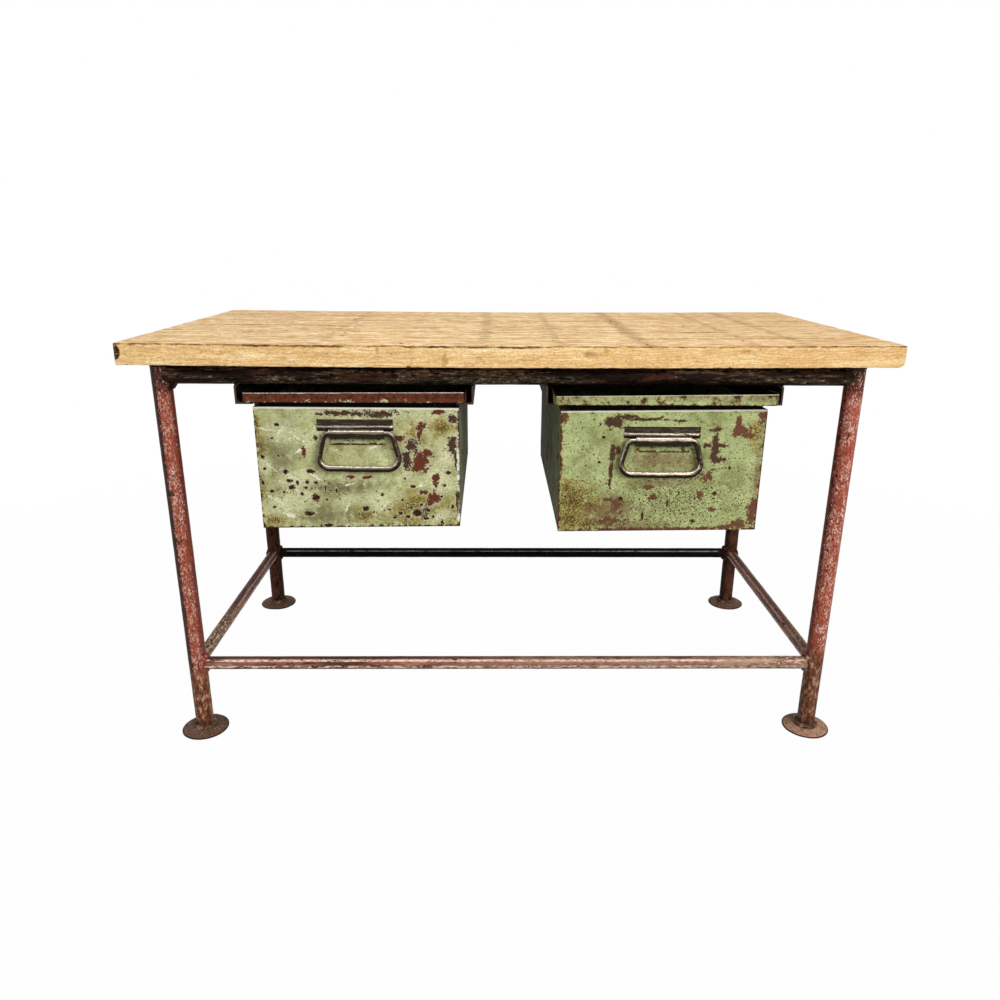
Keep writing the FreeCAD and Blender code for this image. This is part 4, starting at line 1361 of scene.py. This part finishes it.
RIGHT_WEAR = {
    "primer": ((154, 210, 13, 9), (148, 223, 4, 10), (168, 201, 12, 4), (95, 114, 10, 8), (-21, 93, 7, 3),
        (82, 75, 6, 5), (-13, 73, 7, 4), (111, 46, 6, 4), (-85, 54, 9, 11), (-105, 67, 10, 3),
        (196, 45, 10, 24), (163, 13, 15, 8), (140, 4, 24, 4), (-197, 239, 6, 9), (196, 239, 7, 10),
        (-30, 3, 90, 3.5), (-95, 22, 24, 5), (70, 4, 60, 2.5), (-203, 195, 3, 24), (-204, 120, 3, 30)),
    "bare": ((-98, 163, 3.5, 20), (-99, 132, 3.5, 16), (-101, 102, 2.5, 9), (-87, 171, 4, 6),
        (-97, 227, 17, 9), (-72, 238, 20, 4), (-40, 233, 32, 2.5), (106, 171, 6, 28), (117, 180, 10, 3.5),
        (114, 150, 8, 5), (106, 211, 11, 3), (91, 181, 7, 4), (35, 230, 9, 2), (-5, 237, 3, 2)),
    "chip": ((-117, 197, 3, 2.5), (-124, 145, 2.5, 2), (126, 152, 2.5, 2.5), (138, 134, 2, 3),
        (-77, 69, 4, 3), (114, 80, 4, 3), (-31, 33, 2, 9), (18, 60, 1.5, 7), (72, 20, 4, 3)),
    "scrape": ((-120, 20, 12, 1.2, 10),),
    "ochre": ((-171, 65, 34, 35), (-180, 25, 31, 25), (-137, 51, 30, 22), (-187, 93, 16, 20),
        (184, 207, 12, 26), (-140, 17, 38, 16)),
    "shade": ((-119, 41, 30, 17), (-92, 64, 20, 20), (-2, 101, 74, 8), (3, 150, 66, 22), (-44, 9, 80, 13),
        (-96, 44, 46, 30), (196, 120, 8, 90)),
    "pitted": ((-174, 59, 36, 37), (-110, 24, 52, 20), (46, 63, 96, 36)),
}
WEAR = {"left": LEFT_WEAR, "right": RIGHT_WEAR}
EDGE_REACH = mm(9)
# how far each drawer hangs off level over half its width: at its top fold, its bottom and its strip, in mm
LEANS = {"left": (-0.8, 2.2, 1.2), "right": (2.2, 2.2, 2.6)}


def leaning(points, side):
    """Drawer points hung a little out of true in front, less and less towards the back."""
    low, high, middle = node_size(side + "_drawer_front")
    at_top, at_bottom = LEANS[side][:2]
    share = (points[:, 0] - middle.x) / (high.x - middle.x)
    up = (points[:, 2] - middle.z) / (high.z - middle.z)
    lean = mm(at_top) * np.clip(up, 0, 1) ** 2 + mm(at_bottom) * np.clip(-up, 0, 1) ** 2
    moved = points.copy()
    moved[:, 2] += lean * share * ease(low.y - points[:, 1], -mm(160), -mm(20))
    return moved


def wear_marks(kinds, across, up):
    """One mark for each kind of wear: 1 in the heart of a place, 0.42 at its outline, 0 outside."""
    marks = {}
    for kind, places in kinds.items():
        value = np.zeros(len(across))
        for x, z, half_width, half_height, *lean in places:
            tilt = math.radians(lean[0] if lean else 0)
            right, over = across - mm(x), up - mm(z)
            far = np.hypot((right * math.cos(tilt) + over * math.sin(tilt)) / mm(half_width),
                           (over * math.cos(tilt) - right * math.sin(tilt)) / mm(half_height))
            value = np.maximum(value, np.clip(1 - 0.45 * far, 0, 1))
        marks[kind] = value
    return marks


def from_edge(across, up, half_width, height, reach):
    """1 at the edge of a panel, falling to 0 a reach away from it."""
    gap = np.minimum(half_width - np.abs(across), np.minimum(up, height - up))
    return np.clip(1 - gap / reach, 0, 1)


def drawer_end(side, place, look):
    """Front or back sheet: bent shoulder on top, inside flanges, shallow dents all over."""
    name = "%s_drawer_%s" % (side, place)
    low, high, middle = node_size(name)
    inward, face, pitch = (1, low.y, GRID) if place == "front" else (-1, high.y, mm(5))
    inside = face + inward * SHEET
    shelf = face + inward * SHOULDER
    flange = inside + inward * INNER_FLANGE
    ledge = high.z - SHEET
    floor = low.z + SHEET
    lip = low.z + 2 * SHEET
    corners = [
        (face, low.z), (face, high.z), (shelf, high.z), (shelf, ledge), (inside, ledge),
        (inside, lip), (flange, lip), (flange, floor), (inside, floor), (inside, low.z)]
    outline = rounded_outline(corners, [mm(radius) for radius in END_RADII], pitch)[0]
    solids = [extrude_x(outline, stations(low.x, high.x, pitch))]
    for left, right in ((low.x + SHEET, low.x + 2 * SHEET), (high.x - 2 * SHEET, high.x - SHEET)):
        strip = rectangle(left, right, min(inside, flange), max(inside, flange))
        outline = rounded_outline(strip, [mm(0.4)] * 4, mm(5))[0]
        solids.append(extrude_z(outline, stations(floor, ledge, mm(8))))
    points, faces = joined(solids)
    x, y, z = points.T
    across = x - middle.x
    up = z - low.z
    half_width = (high.x - low.x) / 2
    height = high.z - low.z
    edge = from_edge(across, up, half_width, height, EDGE_REACH)
    flat = points * (1.0, 0.0, 1.0)
    dents = uneven(flat, mm(75), seed_of(name)) + 0.25 * uneven(flat, mm(21), seed_of(name))
    y += dents * look.dents * (1 - from_edge(across, up, half_width, height, mm(30)))
    # the back of each drawer wears as the other drawer's front does, seen from behind
    worn_as = side if place == "front" else {"left": "right", "right": "left"}[side]
    marks = wear_marks(WEAR[worn_as], across * inward, up)
    inner = ((y - face) * inward > SHEET * 0.6) & (z < high.z - SHEET * 1.1)
    for mark in marks:
        marks[mark] = np.where(inner, marks[mark] * 0.5, marks[mark])
    marks["edge"] = edge * np.where(up > height - mm(8), 0.6, 1.0)
    in_front = (y - face) * inward
    # the shelf behind the top fold lies under the rim's strip and is painted black as painted shade; the
    # inside of the sheet gets dirt
    on_shelf = ease(in_front, mm(1.6), mm(2.6)) * (z > high.z - mm(1.2))
    marks["grime"] = np.maximum(np.where(inner, 0.55, 0.0), on_shelf)
    # the rounded top fold is bright: partly paint rubbed pale, partly painted highlight
    marks["rub_and_highlight"] = ease(z, high.z - mm(4), high.z - mm(2)) * (1 - on_shelf)
    if side == "left":
        marks["edge"] = marks["edge"] * np.where((across < -half_width * 0.5) & (up > mm(12)), 0.78, 1.0)
        rim = ease(across, half_width - mm(8), half_width - mm(5)) * (in_front < mm(0.4))
        marks["rub_and_highlight"] = np.maximum(marks["rub_and_highlight"], rim * (0.42 + 0.5 * uneven(points, mm(14), 3.0)))
    piece(name + "_sheet", (leaning(points, side), faces), side + "_drawer", SHEET_FINISH[side], [name],
          marks=marks)


def drawer_shell(side, look):
    """Sides and floor from one sheet, bent at the floor and at the narrow shoulders."""
    name = side + "_drawer_shell"
    low, high, middle = node_size(name)
    half = (high.x - low.x) / 2
    neck = half - SHOULDER
    right_half = [(half, low.z), (half, high.z), (neck, high.z), (neck, high.z - SHEET),
                  (half - SHEET, high.z - SHEET), (half - SHEET, low.z + SHEET)]
    left_half = [(-x, z) for x, z in reversed(right_half)]
    corners = [(middle.x + x, z) for x, z in right_half + left_half]
    radii = [mm(radius) for radius in SHELL_RADII + SHELL_RADII[::-1]]
    outline, bends = rounded_outline(corners, radii, mm(6))
    ys = stations(low.y, high.y, mm(7))
    points, faces = extrude_y(outline, ys)
    x, z = points.T[::2]
    flat = fall(np.abs(x - middle.x), half - mm(30), half - SHEET)
    on_floor = (z < low.z + mm(3)).astype(float) * flat
    from_bend = np.minimum(z - low.z, high.z - z)
    on_side = ease(from_bend, mm(6), mm(40))
    dents = uneven(points, mm(95), seed_of(name)) + 0.3 * uneven(points, mm(28), seed_of(name))
    z += on_floor * dents * look.dents
    x += on_side * dents * look.dents
    side_face = (np.abs(x - middle.x) > half - SHEET * 0.5).astype(float)
    # darker all over, and more on the outer sides: dirt and painted shade
    marks = {"edge": edge_mark(bends, len(ys)) * 0.8, "grime": 0.55 + 0.1 * side_face,
             "primer": np.clip(uneven(points, mm(60), 4.0), 0, 1) * 0.75,
             "bare": np.clip(uneven(points, mm(45), 8.0), 0, 1) * 0.7}
    piece(name + "_sheet", (leaning(points, side), faces), side + "_drawer", SHEET_FINISH[side], [name],
          along="Y", marks=marks)


RIM_PITCH = mm(5)
NECK_BEND = mm(1.5)
STRIP_BEND = mm(1.8)
RIM_REACH = mm(20)  # width at which the rim's folded section is drawn before it is spread to its neck


def drawer_rim(side):
    """Rim folded from sheet: neck, riding flange and upstand with a closed top edge."""
    name = side + "_drawer_rim"
    low, high, middle = node_size(name)
    front_low, front_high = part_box(side + "_drawer_front")
    back_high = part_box(side + "_drawer_back")[1]
    neck = (front_low.x + SHOULDER, front_high.x - SHOULDER, front_low.y + SHOULDER, back_high.y - SHOULDER)
    outer = (low.x + SHEET / 2, high.x - SHEET / 2, low.y + SHEET / 2, high.y - SHEET / 2)
    ride_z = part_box(side + "_runner_outer")[0].z + ANGLE_GAUGE + mm(0.2) + SHEET / 2
    line = [(0.0, low.z), (0.0, ride_z - mm(2))]
    line += arc((NECK_BEND, ride_z - NECK_BEND), NECK_BEND, 180, 90, 4).tolist()
    line += [(RIM_REACH * 0.35, ride_z), (RIM_REACH * 0.7, ride_z)]
    line += arc((RIM_REACH - STRIP_BEND, ride_z + STRIP_BEND), STRIP_BEND, -90, 0, 5).tolist()
    line += [(RIM_REACH, z) for z in np.linspace(ride_z + mm(4), high.z - mm(1), 7)]
    rings = []
    for across, z in folded_outline(line, SHEET):
        share = min(1.0, max(0.0, (across - mm(4)) / (RIM_REACH - mm(8))))
        spare = across - RIM_REACH if share == 1.0 else (across if share == 0.0 else 0.0)
        plan = [a + (b - a) * share + out for a, b, out in zip(neck, outer, (-spare, spare, -spare, spare))]
        radii = [mm(2) + mm(6) * share] * 4
        ring = rounded_outline(rectangle(*plan), radii, RIM_PITCH, 6, rectangle(*outer))[0]
        rings.append(np.column_stack([ring, np.full(len(ring), z)]))
    points, faces = loft(rings, wrap=True)
    x, y, z = points.T
    on_strip = ease(z, ride_z + mm(3), ride_z + mm(8))
    wobble = uneven(points * (1.0, 1.0, 0.0), mm(55), seed_of(name)) * mm(0.5)
    y += wobble * on_strip
    up = (z - ride_z) / (high.z - ride_z)
    in_front = ease(low.y - y, -mm(60), -mm(8))
    right = (x - middle.x) / (high.x - middle.x)
    z += mm(LEANS[side][2]) * right * np.clip(up, 0, 1) * in_front
    ragged = 0.5 * uneven(points * (1.0, 1.0, 0.4), mm(24), 2.0)
    inside = (np.minimum(np.minimum(x - low.x, high.x - x),
                         np.minimum(y - low.y, high.y - y)) > SHEET * 0.8)
    hidden = np.maximum(inside, z < ride_z - mm(0.4))
    # the inside and the neck under the riding flange are near black as painted shade; the upstand's top edge
    # is bright, partly worn and partly painted highlight
    marks = {"edge": fall(np.abs(up), 0.0, 0.16) * 0.9, "grime": hidden * 1.0,
             "rub_and_highlight": ease(up, 0.82, 0.92) * (0.8 + 0.3 * ragged) * ease(low.y - y, -mm(4), -mm(1))}
    if side == "left":
        marks["primer"] = 0.57 + 0.75 * np.clip(up, 0, 1) + ragged * 0.7
        marks["edge"] = np.maximum(marks["edge"], 0.6 * on_strip)
    else:
        marks["primer"] = np.clip(ragged * 1.7, 0, 0.7)
        marks["bare"] = np.clip(uneven(points, mm(17), 9.0) * 1.6 - 0.2, 0, 0.7)
        marks["shade"] = 0.62 * on_strip
    piece(name + "_sheet", (points, faces), side + "_drawer", SHEET_FINISH[side], [name], marks=marks)


# ---- handles ----
PLATE_FLAT = mm(12)  # flat strip over the ridge
RIDGE_RISE = mm(4.3)
RIDGE_HALF = mm(5.0)
HINGE_DROP = mm(27)
HINGE_OUT = mm(9)
ROLL_RADIUS = mm(7.75)  # middle of the rolled sheet
KNUCKLE_HALF = mm(54.5)  # the tab under the knuckle is as wide
ROLL_ANGLES = (62, 300)  # degrees, from over the hinge round its front to under it
ROD_SIDES = 20
BAIL_TOP_HALF = mm(67)
BAIL_LOW_HALF = mm(86)
BAIL_TOP_BEND = mm(12)
BAIL_LOW_BEND = mm(22)


def bracket(side):
    """Sheet bracket: flat strip and pressed ridge, rolled knuckle and lower tab."""
    name = side + "_drawer_handle_bracket"
    low, high, middle = node_size(name)
    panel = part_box(side + "_drawer_front")[0].y
    hinge_z = high.z - HINGE_DROP
    sheet_y = panel - SHEET / 2
    strip_z = high.z - PLATE_FLAT
    ridge_z = strip_z - RIDGE_HALF - mm(0.5)
    line = [(sheet_y, high.z), (sheet_y, high.z - PLATE_FLAT * 0.5), (sheet_y, strip_z)]
    for angle in np.linspace(10, 170, 9):
        line.append((sheet_y - RIDGE_RISE * math.sin(math.radians(angle)),
                     ridge_z + RIDGE_HALF * math.cos(math.radians(angle))))
    line.append((sheet_y, ridge_z - RIDGE_HALF - mm(0.6)))
    outline = folded_outline(line, SHEET)
    half = (high.x - low.x) / 2
    rings = []
    for x in stations(-half, half, mm(2.5)):
        # the ridge runs out flat in its last few millimetres
        share = ease(np.array([half - abs(x)]), 0.0, mm(5))[0]
        ring = outline.copy()
        ring[:, 0] = sheet_y + (ring[:, 0] - sheet_y) * (0.45 + 0.55 * share)
        rings.append(np.column_stack([np.full(len(ring), middle.x + x), ring]))
    plate = loft(rings)
    plate[0][:, 2] += uneven(plate[0], mm(30), 3.0) * mm(0.4)
    # the plate sits a little to the left of its knuckle, which is centred on the drawer
    knuckle_x = node_size(side + "_drawer_front")[2].x
    xs = stations(knuckle_x - KNUCKLE_HALF, knuckle_x + KNUCKLE_HALF, mm(4))
    roll = [(sheet_y, ridge_z - RIDGE_HALF + mm(1)), (sheet_y - mm(0.6), hinge_z + ROLL_RADIUS + mm(1.0))]
    roll += arc((panel - HINGE_OUT, hinge_z), ROLL_RADIUS, *ROLL_ANGLES, 22).tolist()
    points, faces = joined([plate, extrude_x(folded_outline(roll, SHEET), xs)])
    on_strip = ease(points[:, 2], strip_z - mm(1), strip_z + mm(2))
    under = fall(points[:, 2], hinge_z - mm(6), hinge_z - mm(1))
    # the strip is darkened by dirt; the sheet under the knuckle is darkened as painted shade
    piece(side + "_handle_plate_and_knuckle", (points, faces), side + "_drawer", "handle_steel", [name],
          marks={"grime": np.maximum(on_strip * 0.6, under * 0.9)})
    # the lower tab is painted, so it is a piece of its own
    tab_top = hinge_z - ROLL_RADIUS * 0.9
    line = [(sheet_y - mm(3.5), tab_top), (sheet_y - mm(1.2), tab_top - mm(2.5)),
            (sheet_y - mm(0.4), tab_top - mm(5)), (sheet_y, tab_top - mm(9)), (sheet_y - mm(0.5), low.z)]
    points, faces = extrude_x(folded_outline(line, SHEET), xs)
    height = points[:, 2] - points[:, 2].min()
    # a painted highlight over a dark painted shadow line at the tab's lowest edge, and its top darkened as
    # painted shade under the knuckle
    piece(side + "_handle_tab", (points, faces), side + "_drawer", SHEET_FINISH[side], [name], marks={
        "edge": fall(height, 0.0, mm(1.2)), "grime": ease(height, mm(7), mm(12)) * 0.9,
        "rub_and_highlight": ease(height, mm(0.9), mm(1.5)) * fall(height, mm(2.6), mm(3.6)) * 0.85,
        "primer": np.clip(uneven(points, mm(14), 2.0), 0, 1) * 0.8})


def bail(side):
    """Handle bent from round rod: a straight bar in the knuckle and a rounded hanging loop."""
    name = side + "_drawer_bail"
    low, high, middle = node_size(name)
    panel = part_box(side + "_drawer_front")[0].y
    rod = (high.y - low.y) / 2
    top_z = high.z - rod
    low_z = low.z + rod
    corners = [(middle.x - BAIL_TOP_HALF, top_z), (middle.x + BAIL_TOP_HALF, top_z),
               (middle.x + BAIL_LOW_HALF, low_z), (middle.x - BAIL_LOW_HALF, low_z)]
    outline = rounded_outline(corners, [BAIL_TOP_BEND] * 2 + [BAIL_LOW_BEND] * 2, mm(4), 9)[0]
    path = np.column_stack([outline[:, 0], np.full(len(outline), panel - HINGE_OUT), outline[:, 1]])
    hanging = fall(path[:, 2], top_z - mm(34), top_z - mm(14))
    path[:, 2] += hanging * uneven(path * (1.0, 0.0, 0.0), mm(48), seed_of(name)) * mm(1.3)
    path[:, 1] += hanging * uneven(path, mm(60), 5.0) * mm(0.8)
    # hands keep the lower bar round and thick; the bends and sides were drawn thinner
    drawn = 1 - fall(path[:, 2], low_z + mm(3), low_z + mm(24))
    radii = rod * (1 - 0.15 * drawn + hanging * 0.03 * uneven(path, mm(20), 2.0)) - mm(0.08)
    grime = (1 - np.repeat(hanging, ROD_SIDES)) * 0.25
    piece(name + "_rod", sweep(path, radii, ROD_SIDES), side + "_bail", "handle_steel", [name],
          marks={"grime": grime})


# ---- studio ----
BENCH_MIDDLE = (0.0, 0.0, 0.55)
FLOOR_RADIUS = 40.0
FLOOR_DEPTH = mm(4)
SHADOW_REACH = (1.1, 2.6)  # from the middle of the floor: where its shadow starts and ends to fade out


def make_camera(stage):
    """Camera at the fitted standing place: yaw to the right, pitch down, roll clockwise."""
    yaw, pitch, roll = stage.yaw, stage.pitch, stage.roll
    ahead = Vector((math.sin(yaw) * math.cos(pitch), math.cos(yaw) * math.cos(pitch), -math.sin(pitch)))
    right = Vector((math.cos(yaw), -math.sin(yaw), 0.0))
    up = right.cross(ahead)
    across = right * math.cos(roll) + up * math.sin(roll)
    upward = up * math.cos(roll) - right * math.sin(roll)
    turn = Matrix((across, upward, -ahead)).transposed()
    data = bpy.data.cameras.new("standing_view")
    data.lens = stage.lens
    data.clip_start = 0.05
    camera = placed("standing_view", data)
    camera.matrix_world = Matrix.Translation(stage.eye) @ turn.to_4x4()
    bpy.context.scene.camera = camera


def softbox(name, place, width, height, power):
    """Rectangular lamp that looks at the middle of the bench."""
    data = bpy.data.lights.new(name, "AREA")
    data.shape = "RECTANGLE"
    data.size = width
    data.size_y = height
    data.energy = power
    lamp = placed(name, data)
    lamp.location = place
    lamp.rotation_euler = (Vector(BENCH_MIDDLE) - Vector(place)).to_track_quat("-Z", "Y").to_euler()


def seen_rays(tree):
    """1 for rays that see the backdrop straight, in gloss or through glass, 0 for light that it gives."""
    rays = add(tree, "LightPath").node.outputs
    first = add(tree, "Math", (rays["Is Camera Ray"], rays["Is Glossy Ray"]), operation="MAXIMUM")
    return add(tree, "Math", (first, rays["Is Transmission Ray"]), operation="MAXIMUM")


def make_world(stage):
    """White to look at, and a dim even light for everything else."""
    world = bpy.data.worlds.new("studio")
    tree = blank_tree(world)
    strength = add(tree, "Mix", {0: seen_rays(tree), 2: stage.ambient, 3: 1.0})
    light = add(tree, "Background", {"Color": paint("#FFFFFF"), "Strength": strength})
    add(tree, "OutputWorld", {"Surface": light})
    bpy.context.scene.world = world


def make_floor(stage):
    """Round white sweep under the bench; it stays white where lit and keeps a soft shadow."""
    sweep_profile = [(0.01, -FLOOR_DEPTH), (FLOOR_RADIUS, -FLOOR_DEPTH), (FLOOR_RADIUS, 0.0), (0.01, 0.0)]
    mesh = solid_mesh("studio_floor", lathe(sweep_profile, (0, 0, -mm(0.5)), 96))
    floor = placed("studio_floor", mesh)
    material = bpy.data.materials.new("white_paper_sweep")
    tree = blank_tree(material)
    matt = add(tree, "BsdfDiffuse", {"Color": paint(stage.floor_tone)})
    glow = add(tree, "Emission", {"Color": paint("#FFFFFF"), "Strength": 1.0})
    place = add(tree, "TexCoord", output="Object")
    far = add(tree, "VectorMath", (place,), output="Value", operation="LENGTH")
    # beyond the bench's shadow the sweep is as white as the world, so no horizon shows
    plain = add(tree, "MapRange", (far, *SHADOW_REACH, stage.floor_glow, 1.0),
                interpolation_type="SMOOTHSTEP")
    share = add(tree, "Math", (seen_rays(tree), plain), operation="MULTIPLY")
    surface = add(tree, "MixShader", (share, matt, glow))
    add(tree, "OutputMaterial", {"Surface": surface})
    mesh.materials.append(material)


# ---- what a user may change ----
def colour_setting(name, code, about):
    """A colour property with a hex default."""
    return FloatVectorProperty(name=name, description=about, subtype="COLOR", size=3, min=0.0, max=1.0,
                               default=paint(code)[:3])


def length_setting(name, value, about):
    """A length property in metres with a default in millimetres."""
    return FloatProperty(name=name, description=about, unit="LENGTH", default=mm(value), min=0.0,
                         precision=5)


def angle_setting(name, value, about):
    """An angle property with a default in degrees."""
    return FloatProperty(name=name, description=about, subtype="ANGLE", default=math.radians(value))


def power_setting(name, value, about):
    """A lamp's power in watts."""
    return FloatProperty(name=name, description="Power of the lamp %s, in watts" % about, default=value,
                         min=0.0)


class TimberSettings(bpy.types.PropertyGroup):
    """The plank top."""
    early_wood: colour_setting("Early wood", "#ECC486", "Pale wood between the year rings")
    late_wood: colour_setting("Late wood", "#C08F52", "Darker line of each year ring")
    stain: colour_setting("Stain", "#A0703A", "Old bands and spots across the boards")
    ring_spacing: length_setting("Ring spacing", 4.5, "Width of one year's growth")
    pith_drift: length_setting("Pith drift", 44, "How far the heart of the log wanders along a board")
    sag: length_setting("Sag", 3, "How far the top hangs between the legs")
    arris_wear: length_setting("Arris wear", 2.4, "Deepest nick along the front edge")


class FrameSettings(bpy.types.PropertyGroup):
    """The welded tube frame."""
    primer: colour_setting("Primer", "#914230", "Red-oxide primer of the legs")
    lumps: length_setting("Lumps", 0.35, "Unevenness of the old tube and its paint")
    rail_bead: length_setting("Rail bead", 1.8, "Radius of the dressed weld beads at the top rails")
    corner_fillet: length_setting("Corner fillet", 4.14, "Radius of the heavy weld in the front left corner")
    stretcher_bead: length_setting("Stretcher bead", 6.0, "Radius of the beads at the stretchers and feet")
    ripple_pitch: length_setting("Ripple pitch", 3.2, "Distance between the ripples of a bead")


class DrawerSettings(bpy.types.PropertyGroup):
    """The two sheet-steel drawers."""
    left_paint: colour_setting("Left paint", "#B1B37F", "Enamel of the left drawer")
    right_paint: colour_setting("Right paint", "#A6B077", "Enamel of the right drawer")
    dents: length_setting("Dents", 0.8, "Depth of the shallow dents in the sheets")


class StageSettings(bpy.types.PropertyGroup):
    """Camera, lamps and backdrop."""
    eye: FloatVectorProperty(name="Eye", description="Place of the camera", subtype="TRANSLATION", size=3,
                             unit="LENGTH", default=(-0.0372, -1.8761, 1.0498))
    yaw: angle_setting("Yaw", 0.71, "Turn to the right")
    pitch: angle_setting("Pitch", 18.137, "Tilt down")
    roll: angle_setting("Roll", 0.31, "Lean")
    lens: FloatProperty(name="Lens", description="Focal length on a 36 mm sensor", default=28.547, min=10.0)
    key_power: power_setting("Key", 160.0, "at the front right")
    fill_power: power_setting("Fill", 52.0, "at the front left")
    top_power: power_setting("Top", 48.0, "overhead")
    ambient: FloatProperty(name="Ambient", description="Even light from all round", default=0.1, min=0.0)
    floor_glow: FloatProperty(name="Floor glow", description="Share of plain white in what the floor shows",
                              default=0.985, min=0.0, max=1.0)
    floor_tone: StringProperty(name="Floor tone", description="Hex colour of the floor", default="#9A9A9A")


SETTINGS = {
    "bench_timber": TimberSettings, "bench_frame": FrameSettings,
    "bench_drawers": DrawerSettings, "bench_stage": StageSettings,
}


# ---- operators ----
class BENCH_OT_top(bpy.types.Operator):
    """Build the six boards, their nails and the two battens."""
    bl_idname = "bench.top"
    bl_label = "Plank Top"

    def execute(self, context):
        look = context.scene.bench_timber
        for number in range(1, 7):
            board(number, look)
        cleats(look)
        nail_heads(look)
        return {"FINISHED"}


class BENCH_OT_frame(bpy.types.Operator):
    """Build the legs, rails, stretchers and fixing bars."""
    bl_idname = "bench.frame"
    bl_label = "Tube Frame"

    def execute(self, context):
        frame_tubes()
        fixing_bars()
        return {"FINISHED"}


class BENCH_OT_feet(bpy.types.Operator):
    """Build the four dished foot discs."""
    bl_idname = "bench.feet"
    bl_label = "Feet"

    def execute(self, context):
        for end in ENDS:
            for side in SIDES:
                foot(end, side)
        return {"FINISHED"}


class BENCH_OT_welds(bpy.types.Operator):
    """Run weld beads along every joint of the frame."""
    bl_idname = "bench.welds"
    bl_label = "Weld Beads"

    def execute(self, context):
        weld_beads(context.scene.bench_frame)
        return {"FINISHED"}


class BENCH_OT_screws(bpy.types.Operator):
    """Put a slotted screw at every place under the top."""
    bl_idname = "bench.screws"
    bl_label = "Screws"

    def execute(self, context):
        screw_heads(context.scene.bench_timber)
        return {"FINISHED"}


class BENCH_OT_runners(bpy.types.Operator):
    """Build the four angle runners and their stops."""
    bl_idname = "bench.runners"
    bl_label = "Runners"

    def execute(self, context):
        runners()
        return {"FINISHED"}


class BENCH_OT_drawers(bpy.types.Operator):
    """Fold the sheets of both drawers."""
    bl_idname = "bench.drawers"
    bl_label = "Drawers"

    def execute(self, context):
        look = context.scene.bench_drawers
        for side in SIDES:
            drawer_end(side, "front", look)
            drawer_end(side, "back", look)
            drawer_shell(side, look)
            drawer_rim(side)
        return {"FINISHED"}


class BENCH_OT_handles(bpy.types.Operator):
    """Build both handle brackets and bails."""
    bl_idname = "bench.handles"
    bl_label = "Handles"

    def execute(self, context):
        for side in SIDES:
            bracket(side)
            bail(side)
        return {"FINISHED"}


class BENCH_OT_stage(bpy.types.Operator):
    """Set up the camera, the lamps, the world and the floor."""
    bl_idname = "bench.stage"
    bl_label = "Stage"

    def execute(self, context):
        stage = context.scene.bench_stage
        make_camera(stage)
        softbox("key_softbox", (2.3, -3.4, 2.5), 2.2, 2.2, stage.key_power)
        softbox("fill_softbox", (-2.8, -3.2, 1.7), 2.4, 2.4, stage.fill_power)
        softbox("top_softbox", (0.0, -0.2, 3.3), 3.0, 2.2, stage.top_power)
        make_world(stage)
        make_floor(stage)
        context.scene.view_settings.view_transform = "Standard"
        return {"FINISHED"}


class BENCH_PT_parts(bpy.types.Panel):
    """Sidebar list of the bench's parts and settings."""
    bl_idname = "BENCH_PT_parts"
    bl_label = "Work Bench"
    bl_space_type = "VIEW_3D"
    bl_region_type = "UI"
    bl_category = "Bench"

    def draw(self, context):
        for operator in OPERATORS:
            self.layout.operator(operator.bl_idname)
        for name, group in SETTINGS.items():
            box = self.layout.box()
            box.label(text=group.__doc__)
            for setting in group.__annotations__:
                box.prop(getattr(context.scene, name), setting)


OPERATORS = (
    BENCH_OT_top, BENCH_OT_frame, BENCH_OT_feet, BENCH_OT_welds, BENCH_OT_screws, BENCH_OT_runners,
    BENCH_OT_drawers, BENCH_OT_handles, BENCH_OT_stage,
)


def register():
    """Make the settings, operators and panel known to Blender."""
    for group in SETTINGS.values():
        bpy.utils.register_class(group)
    for name, group in SETTINGS.items():
        setattr(bpy.types.Scene, name, PointerProperty(type=group))
    for cls in OPERATORS + (BENCH_PT_parts,):
        bpy.utils.register_class(cls)


def unregister():
    """Take them away again."""
    for cls in (BENCH_PT_parts,) + OPERATORS[::-1]:
        bpy.utils.unregister_class(cls)
    for name, group in SETTINGS.items():
        delattr(bpy.types.Scene, name)
        bpy.utils.unregister_class(group)


def main():
    """Build everything in order."""
    register()
    for operator in OPERATORS:
        family, action = operator.bl_idname.split(".")
        getattr(getattr(bpy.ops, family), action)()


if __name__ == "__main__":
    main()
